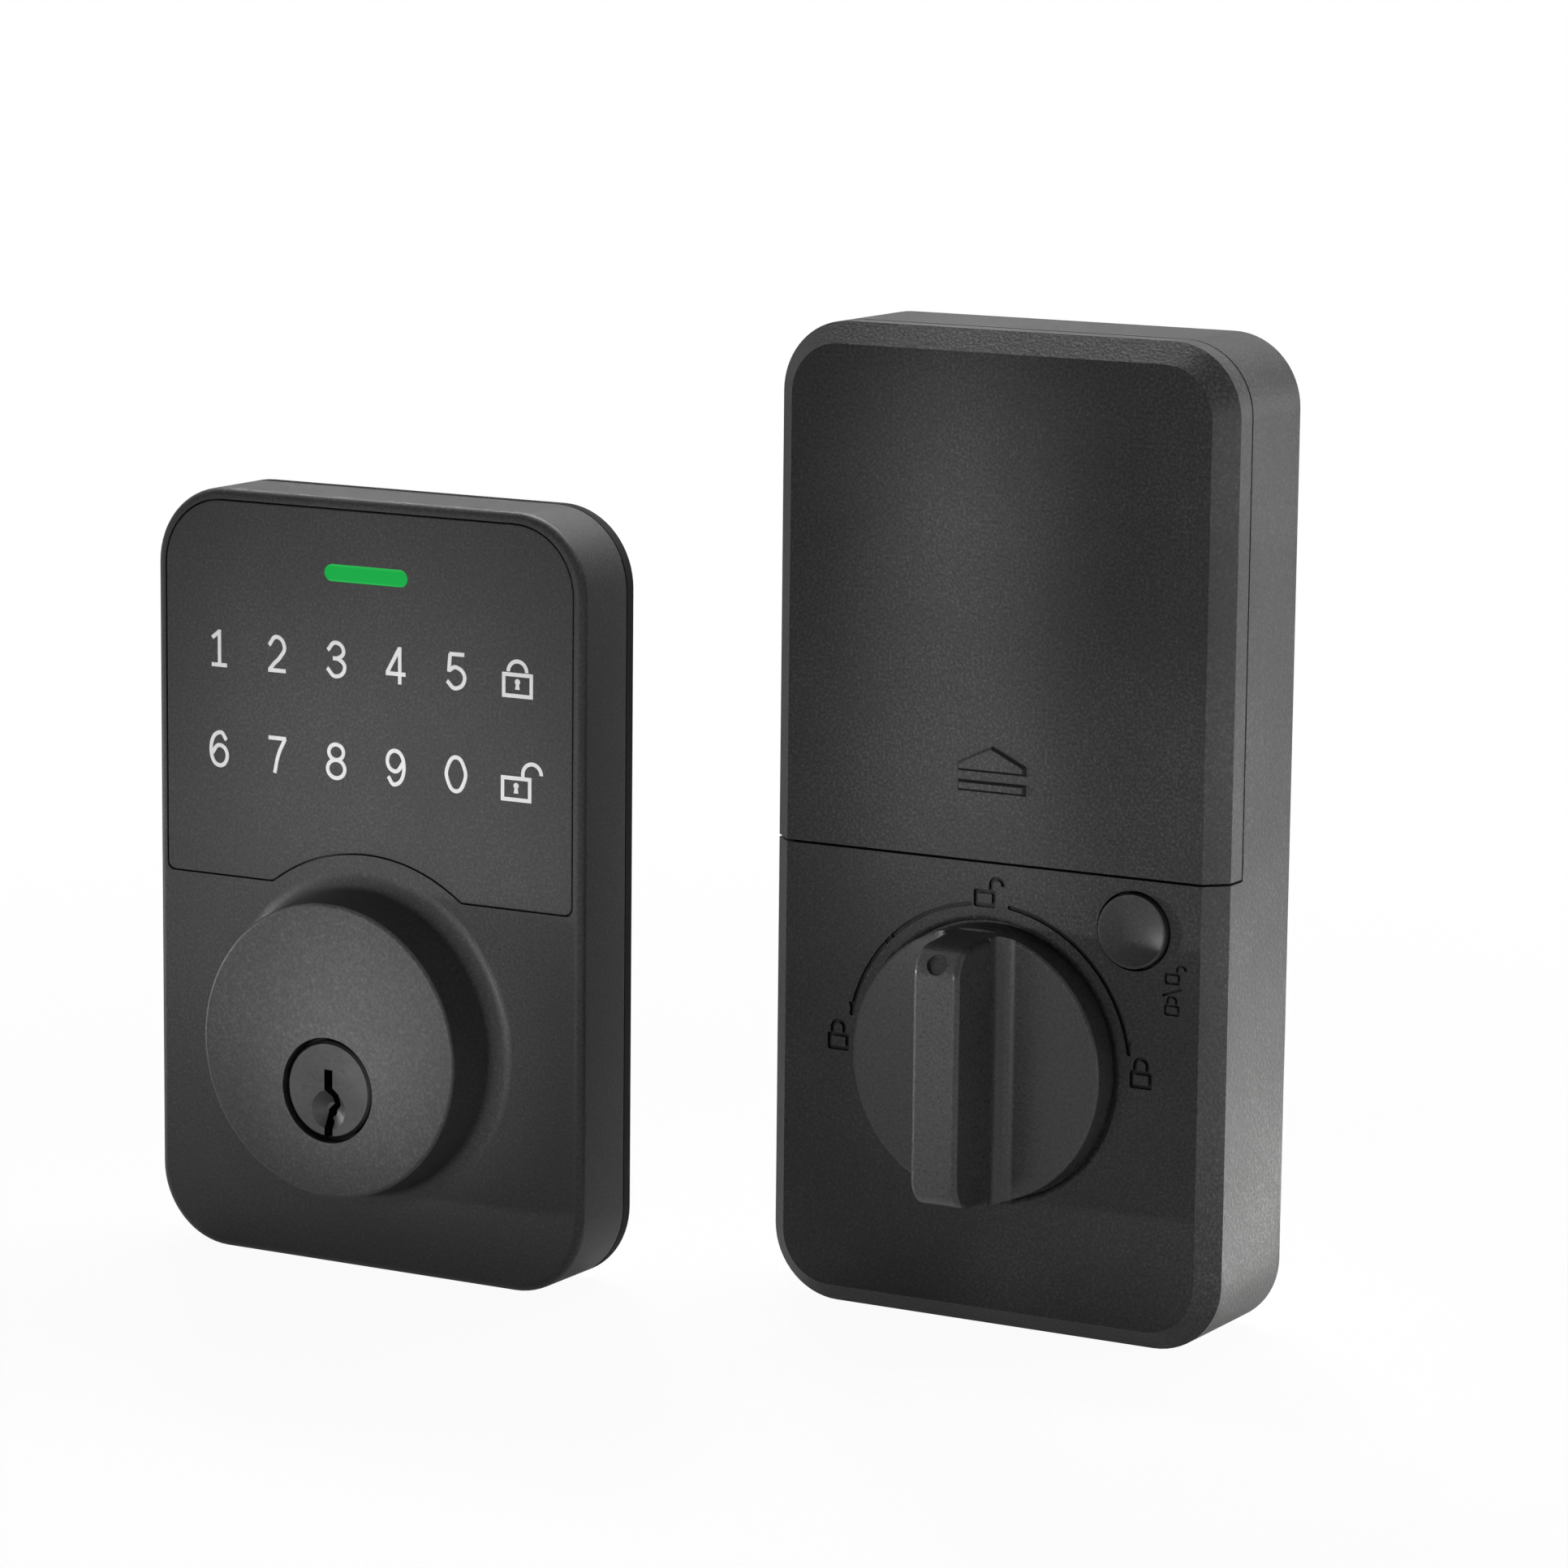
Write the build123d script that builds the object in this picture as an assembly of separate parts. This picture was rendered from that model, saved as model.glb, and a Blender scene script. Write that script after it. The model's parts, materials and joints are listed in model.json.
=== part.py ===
from build123d import *
import os
from math import acos, atan2, cos, pi, radians, sin, sqrt, tan

# Keypad smart lock, in millimetres, +Z up, fronts facing -Y, both units standing on z = 0.
# Each unit is drawn about its own centre line with y = 0 on its front face, then placed.

# Outside unit: casting and gasket
out_width = 70.0
out_height = 108.0
out_corner = 11.0
out_edge = 1.2
out_wall = 2.2
face_wall = 2.8
casting_depth = 11.4
seam_edge = 0.35
gasket_thickness = 1.6
gasket_width = 4.0

# Outside unit: keypad panel, light window and board
rim_width = 1.65
panel_thickness = 1.6
panel_gap = 0.2
panel_tip = 1.2
panel_rise = 20.8
notch_margin = 5.4
led_length = 13.6
led_height = 2.35
led_drop = 10.4
led_flange = 1.0
window_margin = 14.5
window_edge = 3.2
keypad_board_lift = 1.2
board_thickness = 1.6
board_post_radius = 2.0
board_screw_radius = 0.8
board_head_radius = 1.7
board_head_rise = 1.2
chip_side = 7.0
chip_rise = 1.0
light_chip_length = 3.5
light_chip_height = 1.4
light_chip_rise = 0.8
buzzer_radius = 4.5
buzzer_rise = 3.6
socket_width = 9.0
socket_height = 4.6
socket_rise = 4.2

# Outside unit: collar, key cylinder and tailpiece
collar_z = 32.8
collar_radius = 20.6
collar_proud = 9.7
collar_draft = 0.7
collar_fillet = 2.6
collar_edge = 0.5
collar_wall = 2.2
collar_front_wall = 2.4
plug_drop = 5.5
plug_opening = 7.4
plug_recess = 0.3
plug_face_gap = 0.55
plug_chamfer = 0.4
plug_radius = 6.35
barrel_wall = 2.2
cylinder_length = 23.3
bible_width = 10.4
bible_rise = 17.2
bible_setback = 1.0
ear_angle = 15.0
ear_radius = 3.2
ear_thickness = 2.0
ear_screw_radius = 1.25
ear_head_radius = 2.4
ear_head_depth = 1.3
ear_screw_length = 9.0
keyway_width = 1.35
keyway_top = 2.85
keyway_step = 1.0
keyway_right = ((0.0, 0.33), (1.0, -0.5), (1.0, -2.0), (0.0, -3.0), (0.0, -3.5), (-0.575, -4.0), (0.0, -4.5))
keyway_left = ((0.0, -3.0), (1.0, -2.0), (1.0, -1.0), (0.0, 0.0))
dimple_radius = 2.75
dimple_drop = 2.8
dimple_depth = 1.1
pin_count = 5
pin_pitch = 3.8
pin_radius = 1.4
pin_margin = 5.1
key_pin_lengths = (5.2, 4.4, 4.9, 4.1, 4.7)
driver_length = 4.9
spring_wall = 0.4
cap_width = 4.0
cap_thickness = 1.0
clip_thickness = 0.8
clip_radius = 8.2
clip_groove = 0.95
clip_mouth = 6.0
plug_tail = 5.0
tail_slot_depth = 3.8
tail_width = 7.0
tail_thickness = 2.0
tail_reach = 44.0
tail_pin_radius = 0.75
tail_pin_setback = 1.8

# Outside unit: back plate, posts and screws
back_plate_thickness = 1.2
corner_boss_radius = 3.4
corner_boss_merge = 0.4
plate_screw_radius = 1.0
plate_head_radius = 2.2
plate_head_rise = 1.3
plate_screw_length = 6.0
bolt_spacing = 38.0
post_radius = 4.5
post_boss_wall = 0.7
post_boss_depth = 4.2
post_spigot_radius = 2.5
post_spigot_length = 3.4
post_reach = 7.0
post_bore_radius = 2.1
post_bore_depth = 11.0
grommet_radius = 4.4
grommet_lip = 1.2
grommet_hole = 2.8

# Inside unit: housing and mounting plate
in_corner = 9.8
in_bevel = 2.8
in_wall = 2.0
in_front = 2.0
seam_gap = 0.35
turn_to_seam = 27.1
divider_thickness = 2.8
bay_floor_thickness = 1.5
mount_thickness = 1.5
mount_hole_radius = 13.0
mount_bolt_radius = 2.75
unit_screw_radius = 1.5
unit_head_radius = 2.8
unit_head_rise = 1.8
unit_screw_inset = 10.0
tab_width = 8.0
tab_depth = 5.3
tab_x = 18.5
tab_lift = 1.2
base_screw_length = 8.0

# Inside unit: battery cover, cells and contacts
cover_skin = 1.7
cover_wall = 1.7
cover_depth = 6.1
cover_inner_bevel = 1.6
neck_wall = 2.1
neck_setback = 3.3
lip_reach = 0.8
lip_thickness = 1.3
lip_length = 52.0
groove_depth = 1.0
cell_radius = 7.1
cell_length = 50.5
cell_nub_radius = 2.75
cell_nub_rise = 1.5
cell_gap = 0.7
cell_count = 4
cell_front_gap = 1.75
lower_contact_room = 5.0
upper_contact_room = 2.4
contact_thickness = 0.5
contact_depth = 9.0
tongue_width = 5.0
partition_thickness = 1.2
screw_room = 5.6

# Inside unit: thumbturn, spindle and gears
disc_radius = 18.6
disc_proud = 4.0
disc_edge = 0.5
recess_depth = 0.9
recess_gap = 0.35
recess_edge = 0.8
grip_width = 6.8
grip_flare = 0.3
grip_height = 11.2
grip_draft = 1.2
grip_corner = 4.1
grip_edge = 0.8
grip_fillet = 2.5
dot_radius = 1.5
dot_depth = 0.8
dot_angle = 29.0
stub_radius = 7.0
boss_wall = 2.4
boss_length = 4.5
tongue_side = 6.4
tongue_length = 5.0
hub_radius = 5.0
hub_flat = 4.0
hub_flange_radius = 8.6
hub_flange_thickness = 0.8
hub_reach = 6.0
hub_socket_depth = 15.5
hub_screw_radius = 1.25
hub_head_radius = 2.3
hub_head_rise = 1.6
gear_module = 0.8
pressure_angle = 25.0
addendum = 0.8
dedendum = 1.05
tooth_thinning = 0.12
centre_slack = 0.05
spindle_teeth = 36
small_teeth = 10
big_teeth = 30
pinion_teeth = 10
spindle_face = 4.4
big_face = 2.6
gear_side_gap = 0.4
idler_bearing = 225.0
motor_bearing = -51.0
axle_radius = 1.0
axle_boss_wall = 1.6
motor_radius = 8.0
motor_shaft_radius = 1.0
motor_shaft_depth = 6.0
motor_pocket_wall = 1.3
motor_pocket_depth = 6.0
motor_floor_gap = 1.4
gear_plate_thickness = 1.2
gear_boss_radius = 2.6
gear_screw_radius = 1.1
gear_head_radius = 2.2
gear_head_rise = 0.9
gear_screw_length = 6.0
gear_boss_offsets = ((-25.5, -28.9), (12.0, -27.9), (-15.0, 11.3), (15.0, 11.3))
gear_plate_low = ((-28.5, -9.0), (-28.5, -32.0), (15.2, -32.0), (15.2, -17.0), (9.0, -7.0), (9.0, 3.0))
gear_plate_high = ((18.0, 8.2), (18.0, 14.4), (-18.0, 14.4), (-18.0, 8.2), (-12.0, 5.0), (-12.0, -5.0))
flank_steps = 4

# Inside unit: button and control board
button_x = 21.4
button_drop = 7.2
button_radius = 4.95
button_opening = 5.4
button_proud = 0.7
button_dish = 1.1
button_rim = 0.3
button_flange = 0.95
button_flange_thickness = 0.9
button_stem_radius = 1.8
button_stem_length = 0.5
button_travel = 0.6
switch_side = 6.0
switch_height = 1.6
plunger_radius = 1.5
plunger_length = 0.8
control_board_height = 9.8
control_board_gap = 0.8
control_post_x = 10.0
control_post_inset = 2.1
control_chip_x = -4.0
control_socket_x = -20.0

# Engraved marks
mark_depth = 0.5
ring_margin = 2.7
ring_stroke = 0.6
ring_spans = ((98.0, 35.5), (135.2, 1.8), (138.6, 30.4), (9.0, 73.0))
barb_span = 4.0
barb_reach = 0.75
lock_width = 3.3
lock_height = 2.4
lock_corner = 0.35
lock_stroke = 0.55
shackle_rise = 1.9
shackle_share = 0.36
lock_ring_offset = 1.6
lock_top_lift = 0.7
small_lock_width = 2.25
small_lock_height = 1.55
small_lock_stroke = 0.34
small_shackle_rise = 1.2
small_lock_x = 27.2
small_lock_pitch = 3.6
small_lock_drop = 7.6
slash_angle = 21.0
slash_length = 3.0

# Raised arrow
arrow_width = 10.2
arrow_eave = 1.2
arrow_roof = 2.4
arrow_gap = 1.2
arrow_bar = 1.5
arrow_lift = 9.2
arrow_rise = 0.5
arrow_edge = 0.35

# Screw heads
cross_arm = 0.7
cross_blade = 0.18

# Fits
run_clearance = 0.05
slide_clearance = 0.2
seat_clearance = 0.25
face_clearance = 0.15
touch = 0.001

# Layout of the pair
unit_gap = 19.2
set_back = 17.3

# Derived places, outside unit
plug_z = collar_z - plug_drop
panel_bottom = collar_z + panel_rise
notch_radius = collar_radius + notch_margin
led_z = out_height - led_drop
collar_inner = collar_radius - collar_wall
collar_floor = -collar_proud + collar_front_wall
window_half = out_width / 2 - window_margin
window_bottom = collar_z + notch_radius + window_edge
window_top = led_z + window_edge
plate_front = casting_depth - back_plate_thickness
boss_run = out_corner - out_wall + corner_boss_merge - corner_boss_radius
boss_inset = out_corner - boss_run / sqrt(2)
corner_spots = [
    (side * (out_width / 2 - boss_inset), height)
    for side in (-1, 1)
    for height in (boss_inset, out_height - boss_inset)
]
ear_distance = collar_inner - ear_radius + corner_boss_merge
ear_x = ear_distance * cos(radians(ear_angle))
ear_z = collar_z + ear_distance * sin(radians(ear_angle))
ear_seat = plate_front - face_clearance - ear_thickness
post_spots = [(side * bolt_spacing / 2, plug_z) for side in (-1, 1)]
post_seat = face_wall + post_boss_depth
post_end = casting_depth + gasket_thickness + post_reach
keypad_board_front = face_wall + keypad_board_lift
keypad_board_back = keypad_board_front + board_thickness
keypad_post_x = window_half + board_post_radius
keypad_posts = [
    (side * keypad_post_x, height)
    for side in (-1, 1)
    for height in (window_bottom + board_post_radius, window_top - board_post_radius)
]
keypad_socket_z = window_bottom + socket_height
barrel_radius = plug_radius + barrel_wall
cylinder_back = collar_floor + cylinder_length
plug_front = -collar_proud + plug_recess
plug_back = cylinder_back + plug_tail
clip_front = cylinder_back + face_clearance
tail_front = plug_back - tail_slot_depth
tail_end = casting_depth + gasket_thickness + tail_reach
pin_places = [collar_floor + pin_margin + k * pin_pitch for k in range(pin_count)]
key_pin_top = sqrt(plug_radius**2 - (pin_radius + run_clearance) ** 2) - run_clearance
driver_bottom = plug_radius + 2 * run_clearance
cap_bottom = bible_rise - cap_thickness

# Derived places, inside unit
cell_pitch = 2 * cell_radius + cell_gap
bay_half = cell_count * cell_pitch / 2 + slide_clearance
neck_inset = cover_wall + slide_clearance
in_half = bay_half + neck_wall + neck_inset
in_width = 2 * in_half
bay_floor = cover_skin + cell_front_gap + 2 * cell_radius + face_clearance
mount_front = bay_floor + bay_floor_thickness
in_depth = mount_front + mount_thickness
cell_y = bay_floor - face_clearance - cell_radius
spindle_pitch_radius = gear_module * spindle_teeth / 2
small_pitch_radius = gear_module * small_teeth / 2
big_pitch_radius = gear_module * big_teeth / 2
pinion_pitch_radius = gear_module * pinion_teeth / 2
idler_run = spindle_pitch_radius + small_pitch_radius + centre_slack
motor_run = big_pitch_radius + pinion_pitch_radius + centre_slack
idler_x = idler_run * cos(radians(idler_bearing))
idler_drop = -idler_run * sin(radians(idler_bearing))
motor_x = idler_x + motor_run * cos(radians(motor_bearing))
motor_drop = idler_drop - motor_run * sin(radians(motor_bearing))
motor_z = in_wall + motor_floor_gap + motor_radius
turn_z = motor_z + motor_drop
idler_z = turn_z - idler_drop
seam_z = turn_z + turn_to_seam
divider_top = seam_z + divider_thickness - in_front / 2
divider_bottom = divider_top - divider_thickness
bay_bottom = divider_top
cell_bottom = bay_bottom + lower_contact_room
cell_top = cell_bottom + cell_length
partition_bottom = cell_top + upper_contact_room
partition_top = partition_bottom + partition_thickness
bay_top = partition_top + screw_room
in_height = bay_top + neck_wall + neck_inset
neck_front = neck_setback
neck_back = cover_depth + seam_gap
lip_front = cover_depth - lip_thickness
lip_bottom = bay_bottom
boss_end = in_front + boss_length
stub_end = boss_end + face_clearance
hub_flange_back = stub_end + hub_flange_thickness
spindle_gear_back = hub_flange_back + spindle_face
gear_plate_back = mount_front - gear_head_rise - gear_side_gap
gear_plate_front = gear_plate_back - gear_plate_thickness
big_back = gear_plate_front - gear_side_gap
big_front = big_back - big_face
small_front = hub_flange_back - gear_side_gap
motor_back = big_front - gear_side_gap
motor_front = in_front + face_clearance
hub_end = in_depth + hub_reach
hub_socket_floor = hub_end - hub_socket_depth
gear_boss_spots = [(x, turn_z + rise) for x, rise in gear_boss_offsets]
button_z = seam_z - button_drop
control_board_front = in_front + button_flange_thickness + button_stem_length + plunger_length + switch_height
control_board_back = control_board_front + board_thickness
control_board_top = divider_bottom - control_board_gap
control_board_bottom = control_board_top - control_board_height
control_board_mid = (control_board_top + control_board_bottom) / 2
control_post_side = in_half - in_wall - control_post_inset
control_posts = [(x, control_board_mid) for x in (-control_post_side, control_post_x, control_post_side)]
unit_screw_x = bay_half - unit_screw_inset
unit_screw_spots = [(side * unit_screw_x, partition_top + screw_room / 2) for side in (-1, 1)]
ring_radius = disc_radius + ring_margin

# Placement of the two units in the shared frame, with the origin under the middle of the pair
pair_width = out_width + unit_gap + in_width
pair_front = min(-collar_proud, set_back - disc_proud - grip_height)
pair_back = max(tail_end, set_back + hub_end)
out_place = Pos((out_width - pair_width) / 2, -(pair_front + pair_back) / 2, 0)
in_place = Pos((pair_width - in_width) / 2, set_back - (pair_front + pair_back) / 2, 0)


# Drawing helpers: outlines are drawn as seen from the front, x to the right and z up

def facing(y):
    return Plane(origin=(0, y, 0), x_dir=(1, 0, 0), z_dir=(0, -1, 0))


def slab(outline, y0, y1):
    return extrude(facing(y0) * outline, amount=y1 - y0, dir=(0, 1, 0))


def disc(x, z, radius):
    return Pos(x, z) * Circle(radius)


def rod(x, z, radius, y0, y1):
    return slab(disc(x, z, radius), y0, y1)


def block(x0, x1, y0, y1, z0, z1):
    return Pos((x0 + x1) / 2, (y0 + y1) / 2, (z0 + z1) / 2) * Box(x1 - x0, y1 - y0, z1 - z0)


def patch(x0, x1, z0, z1):
    return Pos((x0 + x1) / 2, (z0 + z1) / 2) * Rectangle(x1 - x0, z1 - z0)


def both_sides(shape):
    return [shape, mirror(shape, about=Plane.YZ)]


def rounded(width, height, corner, inset):
    face = RectangleRounded(width - 2 * inset, height - 2 * inset, corner - inset)
    return Pos(0, height / 2) * face


def out_outline(inset=0.0):
    return rounded(out_width, out_height, out_corner, inset)


def in_outline(inset=0.0):
    return rounded(in_width, in_height, in_corner, inset)


def front_edges(solid):
    return solid.faces().sort_by(Axis.Y)[0].edges()


def back_edges(solid):
    return solid.faces().sort_by(Axis.Y)[-1].edges()


def cross_recess(x, z, radius, y0, y1):
    arm = cross_arm * radius
    blade = cross_blade * radius
    return [
        block(x - arm, x + arm, y0, y1, z - blade, z + blade),
        block(x - blade, x + blade, y0, y1, z - arm, z + arm),
    ]


def rear_screw(x, z, seat, length, shank, head, rise):
    """A pan head screw driven from the back, with its head on the seat."""
    screw = rod(x, z, shank, seat - length, seat) + rod(x, z, head, seat, seat + rise)
    return screw - cross_recess(x, z, head, seat + rise / 2, seat + rise)


def gear_face(teeth, phase):
    """A spur gear with short involute teeth, the middle of one tooth at the phase angle."""
    pressure = radians(pressure_angle)
    pitch = gear_module * teeth / 2
    base = pitch * cos(pressure)
    tip = pitch + addendum * gear_module
    root = pitch - dedendum * gear_module
    start = max(base, root)
    half = (pi * gear_module / 2 - tooth_thinning) / (2 * pitch)

    def half_angle(radius):
        roll = acos(min(1.0, base / radius))
        return half + (tan(pressure) - pressure) - (tan(roll) - roll)

    flank = [start + (tip - start) * k / flank_steps for k in range(flank_steps + 1)]
    side = [(root, half_angle(start))] + [(radius, half_angle(radius)) for radius in flank]
    points = []
    for tooth in range(teeth):
        middle = phase + 2 * pi * tooth / teeth
        rising = [(radius, middle - angle) for radius, angle in side]
        falling = [(radius, middle + angle) for radius, angle in reversed(side)]
        points += [(radius * cos(angle), radius * sin(angle)) for radius, angle in rising + falling]
    return Polygon(*points, align=None)


def meshing_phase(teeth, phase, mate_teeth, bearing):
    """The phase that puts a gap of the mate opposite a tooth of the gear along the bearing."""
    turn = (bearing - phase) * teeth / (2 * pi)
    return bearing + pi - 2 * pi * (0.5 - turn) / mate_teeth


# Engraved signs

def padlock(width, height, stroke, rise, is_open):
    """A padlock outline centred on its body, with the shackle swung to the right if open."""
    body = RectangleRounded(width, height, lock_corner)
    body -= RectangleRounded(width - 2 * stroke, height - 2 * stroke, lock_corner / 2)
    outer = shackle_share * width
    inner = outer - stroke
    spring = height / 2 + rise - outer
    legs = patch(-outer, outer, height / 2, spring) + disc(0, spring, outer)
    gap = patch(-inner, inner, 0, spring) + disc(0, spring, inner)
    shackle = legs - gap - patch(-outer, outer, -height, height / 2)
    if is_open:
        shackle = Pos(2 * outer - stroke, 0) * shackle
        shackle -= patch(2 * outer, width + 2 * outer, 0, height / 2 + rise / 3)
    return body + shackle


def ring_barb(end, way):
    """Half an arrowhead on the outer side of an arc's end, drawn back along the arc."""
    back = radians(end + way * barb_span)
    corners = [(ring_radius, radians(end)), (ring_radius + barb_reach, back), (ring_radius, back)]
    points = [(radius * cos(angle), turn_z + radius * sin(angle)) for radius, angle in corners]
    return Polygon(*points, align=None)


def turn_marks():
    """The two barbed arcs round the thumbturn and the padlocks at their ends."""
    marks = [
        SlotArc(CenterArc((0, turn_z), ring_radius, start, span), ring_stroke)
        for start, span in ring_spans
    ]
    marks += [ring_barb(ring_spans[-1][0], 1), ring_barb(sum(ring_spans[-2]), -1)]
    side_lock = padlock(lock_width, lock_height, lock_stroke, shackle_rise, False)
    top_lock = padlock(lock_width, lock_height, lock_stroke, shackle_rise, True)
    reach = ring_radius + lock_ring_offset
    marks += [Pos(side * reach, turn_z) * side_lock for side in (-1, 1)]
    marks += [Pos(-lock_width / 4, turn_z + ring_radius + lock_top_lift) * top_lock]
    return marks


def button_marks():
    """The small open and closed padlocks below the button, with a slash between them."""
    middle = button_z - small_lock_drop
    size = (small_lock_width, small_lock_height, small_lock_stroke, small_shackle_rise)
    stroke = Rot(0, 0, slash_angle) * Rectangle(slash_length, small_lock_stroke)
    slash = Pos(small_lock_x, middle) * stroke
    opened = Pos(small_lock_x, middle + small_lock_pitch / 2) * padlock(*size, True)
    closed = Pos(small_lock_x, middle - small_lock_pitch / 2 - small_shackle_rise / 2) * padlock(*size, False)
    return [slash, opened, closed]


def arrow_signs():
    """An upward arrow over a bar, which show the way the cover slides."""
    half = arrow_width / 2
    low = seam_z + arrow_lift
    base = low + arrow_bar + arrow_gap
    eave = base + arrow_eave
    points = [(-half, base), (half, base), (half, eave), (0, eave + arrow_roof), (-half, eave)]
    return [Polygon(*points, align=None), patch(-half, half, low, low + arrow_bar)]


# Outside unit

def panel_outline(grow):
    """The keypad panel seen from the front, arched over the collar, grown by a margin."""
    face = out_outline(rim_width - grow)
    face -= patch(-out_width, out_width, -out_height, panel_bottom - grow)
    face -= disc(0, collar_z, notch_radius - grow)
    return fillet(face.vertices().group_by(Axis.Y)[0], panel_tip)


def collar_solid():
    """The round guard, with a drafted wall, a rounded front edge and a flared foot."""
    foot = collar_radius + collar_draft
    sink = face_wall / 2
    bend = collar_fillet * (1 - sqrt(0.5))
    turn = collar_edge * (1 - sqrt(0.5))
    outline = [
        Polyline((0, -collar_proud), (0, sink), (foot + collar_fillet, sink), (foot + collar_fillet, 0)),
        ThreePointArc((foot + collar_fillet, 0), (foot + bend, -bend), (foot, -collar_fillet)),
        Line((foot, -collar_fillet), (collar_radius, collar_edge - collar_proud)),
        ThreePointArc(
            (collar_radius, collar_edge - collar_proud),
            (collar_radius - turn, turn - collar_proud),
            (collar_radius - collar_edge, -collar_proud),
        ),
        Line((collar_radius - collar_edge, -collar_proud), (0, -collar_proud)),
    ]
    profile = Plane(origin=(0, 0, collar_z)) * make_face(outline)
    return revolve(profile, axis=Axis((0, 0, collar_z), (0, 1, 0)))


def outside_housing():
    body = slab(out_outline(), 0, casting_depth)
    body = fillet(front_edges(body), out_edge)
    body = fillet(back_edges(body), seam_edge)
    body += collar_solid()
    body -= slab(out_outline(out_wall), face_wall, casting_depth)
    body -= rod(0, collar_z, collar_inner, collar_floor, face_wall)
    body -= rod(0, plug_z, plug_opening, -collar_proud, collar_floor)
    body -= slab(panel_outline(panel_gap), 0, panel_thickness)
    body -= block(-window_half, window_half, 0, face_wall, window_bottom, window_top)
    for x, z in corner_spots:
        body += rod(x, z, corner_boss_radius, face_wall, plate_front)
        body -= rod(x, z, plate_screw_radius, plate_front - plate_screw_length, plate_front)
    for x in (-ear_x, ear_x):
        body += rod(x, ear_z, ear_radius, collar_floor, ear_seat)
        body -= rod(x, ear_z, ear_screw_radius, ear_seat - ear_screw_length, ear_seat)
    for x, z in post_spots:
        body += rod(x, z, post_radius + post_boss_wall, face_wall, post_seat)
        body -= rod(x, z, post_spigot_radius, post_seat - post_spigot_length, post_seat)
    for x, z in keypad_posts:
        body += rod(x, z, board_post_radius, face_wall, keypad_board_front)
        body -= rod(x, z, board_screw_radius, panel_thickness + seam_edge, keypad_board_front)
    return body


def keypad_panel():
    panel = slab(panel_outline(0.0), 0, panel_thickness)
    panel = fillet(front_edges(panel), seam_edge / 2)
    return panel - slab(led_outline(run_clearance), 0, panel_thickness)


def led_outline(grow):
    return Pos(0, led_z) * SlotOverall(led_length + 2 * grow, led_height + 2 * grow)


def led_window():
    pipe_end = keypad_board_front - light_chip_rise - face_clearance
    pipe = slab(led_outline(0.0), 0, pipe_end)
    return pipe + slab(led_outline(led_flange), panel_thickness, face_wall - face_clearance)


def keypad_board():
    half = keypad_post_x + board_post_radius
    outline = patch(-half, half, window_bottom - window_edge, window_top)
    board = slab(outline, keypad_board_front, keypad_board_back)
    for x, z in keypad_posts:
        board -= rod(x, z, board_screw_radius + seat_clearance, keypad_board_front, keypad_board_back)
    return board


def keypad_light_chips():
    half_l = light_chip_length / 2
    half_h = light_chip_height / 2
    front = keypad_board_front - light_chip_rise
    return [
        block(x - half_l, x + half_l, front, keypad_board_front, led_z - half_h, led_z + half_h)
        for x in (-led_length / 4, led_length / 4)
    ]


def keypad_chip():
    middle = (window_bottom + window_top) / 2
    half = chip_side / 2
    return block(-half, half, keypad_board_back, keypad_board_back + chip_rise, middle - half, middle + half)


def keypad_buzzer():
    z = window_top - buzzer_radius - board_post_radius
    return rod(-window_half / 2, z, buzzer_radius, keypad_board_back, keypad_board_back + buzzer_rise)


def keypad_socket():
    half = socket_width / 2
    low = keypad_socket_z - socket_height / 2
    wall = socket_height / 6
    shell = block(-half, half, keypad_board_back, keypad_board_back + socket_rise, low, low + socket_height)
    room = block(
        wall - half,
        half - wall,
        keypad_board_back + wall,
        keypad_board_back + socket_rise,
        low + wall,
        low + socket_height - wall,
    )
    return shell - room


def keypad_board_screws():
    length = keypad_board_back - panel_thickness - seam_edge
    return [
        rear_screw(x, z, keypad_board_back, length, board_screw_radius, board_head_radius, board_head_rise)
        for x, z in keypad_posts
    ]


def ear_countersink(x):
    seat = plate_front - face_clearance
    cone = Cone(ear_screw_radius, ear_head_radius, ear_head_depth)
    return Pos(x, seat - ear_head_depth / 2, ear_z) * (Rot(-90, 0, 0) * cone)


def pin_hole(y, low, high):
    radius = pin_radius + run_clearance
    return Pos(0, y, plug_z + (low + high) / 2) * Cylinder(radius, high - low)


def cylinder_body():
    body = rod(0, plug_z, barrel_radius, collar_floor, cylinder_back)
    half = bible_width / 2
    front = collar_floor + bible_setback
    back = cylinder_back - bible_setback
    body += block(-half, half, front, back, plug_z, plug_z + bible_rise)
    ears = Pos(0, ear_z) * SlotOverall(2 * (ear_x + ear_radius), 2 * ear_radius)
    body += slab(ears, ear_seat, ear_seat + ear_thickness)
    body -= rod(0, plug_z, plug_radius + run_clearance, collar_floor, cylinder_back)
    for x in (-ear_x, ear_x):
        body -= rod(x, ear_z, ear_screw_radius, ear_seat, ear_seat + ear_thickness)
        body -= ear_countersink(x)
    for y in pin_places:
        body -= pin_hole(y, plug_radius / 2, bible_rise)
    return body - chamber_cap()


def chamber_cap():
    half = cap_width / 2
    front = pin_places[0] - pin_pitch / 2
    back = pin_places[-1] + pin_pitch / 2
    return block(-half, half, front, back, plug_z + cap_bottom, plug_z + bible_rise)


def cylinder_screws():
    tip = ear_seat - ear_screw_length
    top = plate_front - face_clearance
    return [
        rod(x, ear_z, ear_screw_radius, tip, top) + ear_countersink(x)
        for x in (-ear_x, ear_x)
    ]


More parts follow.
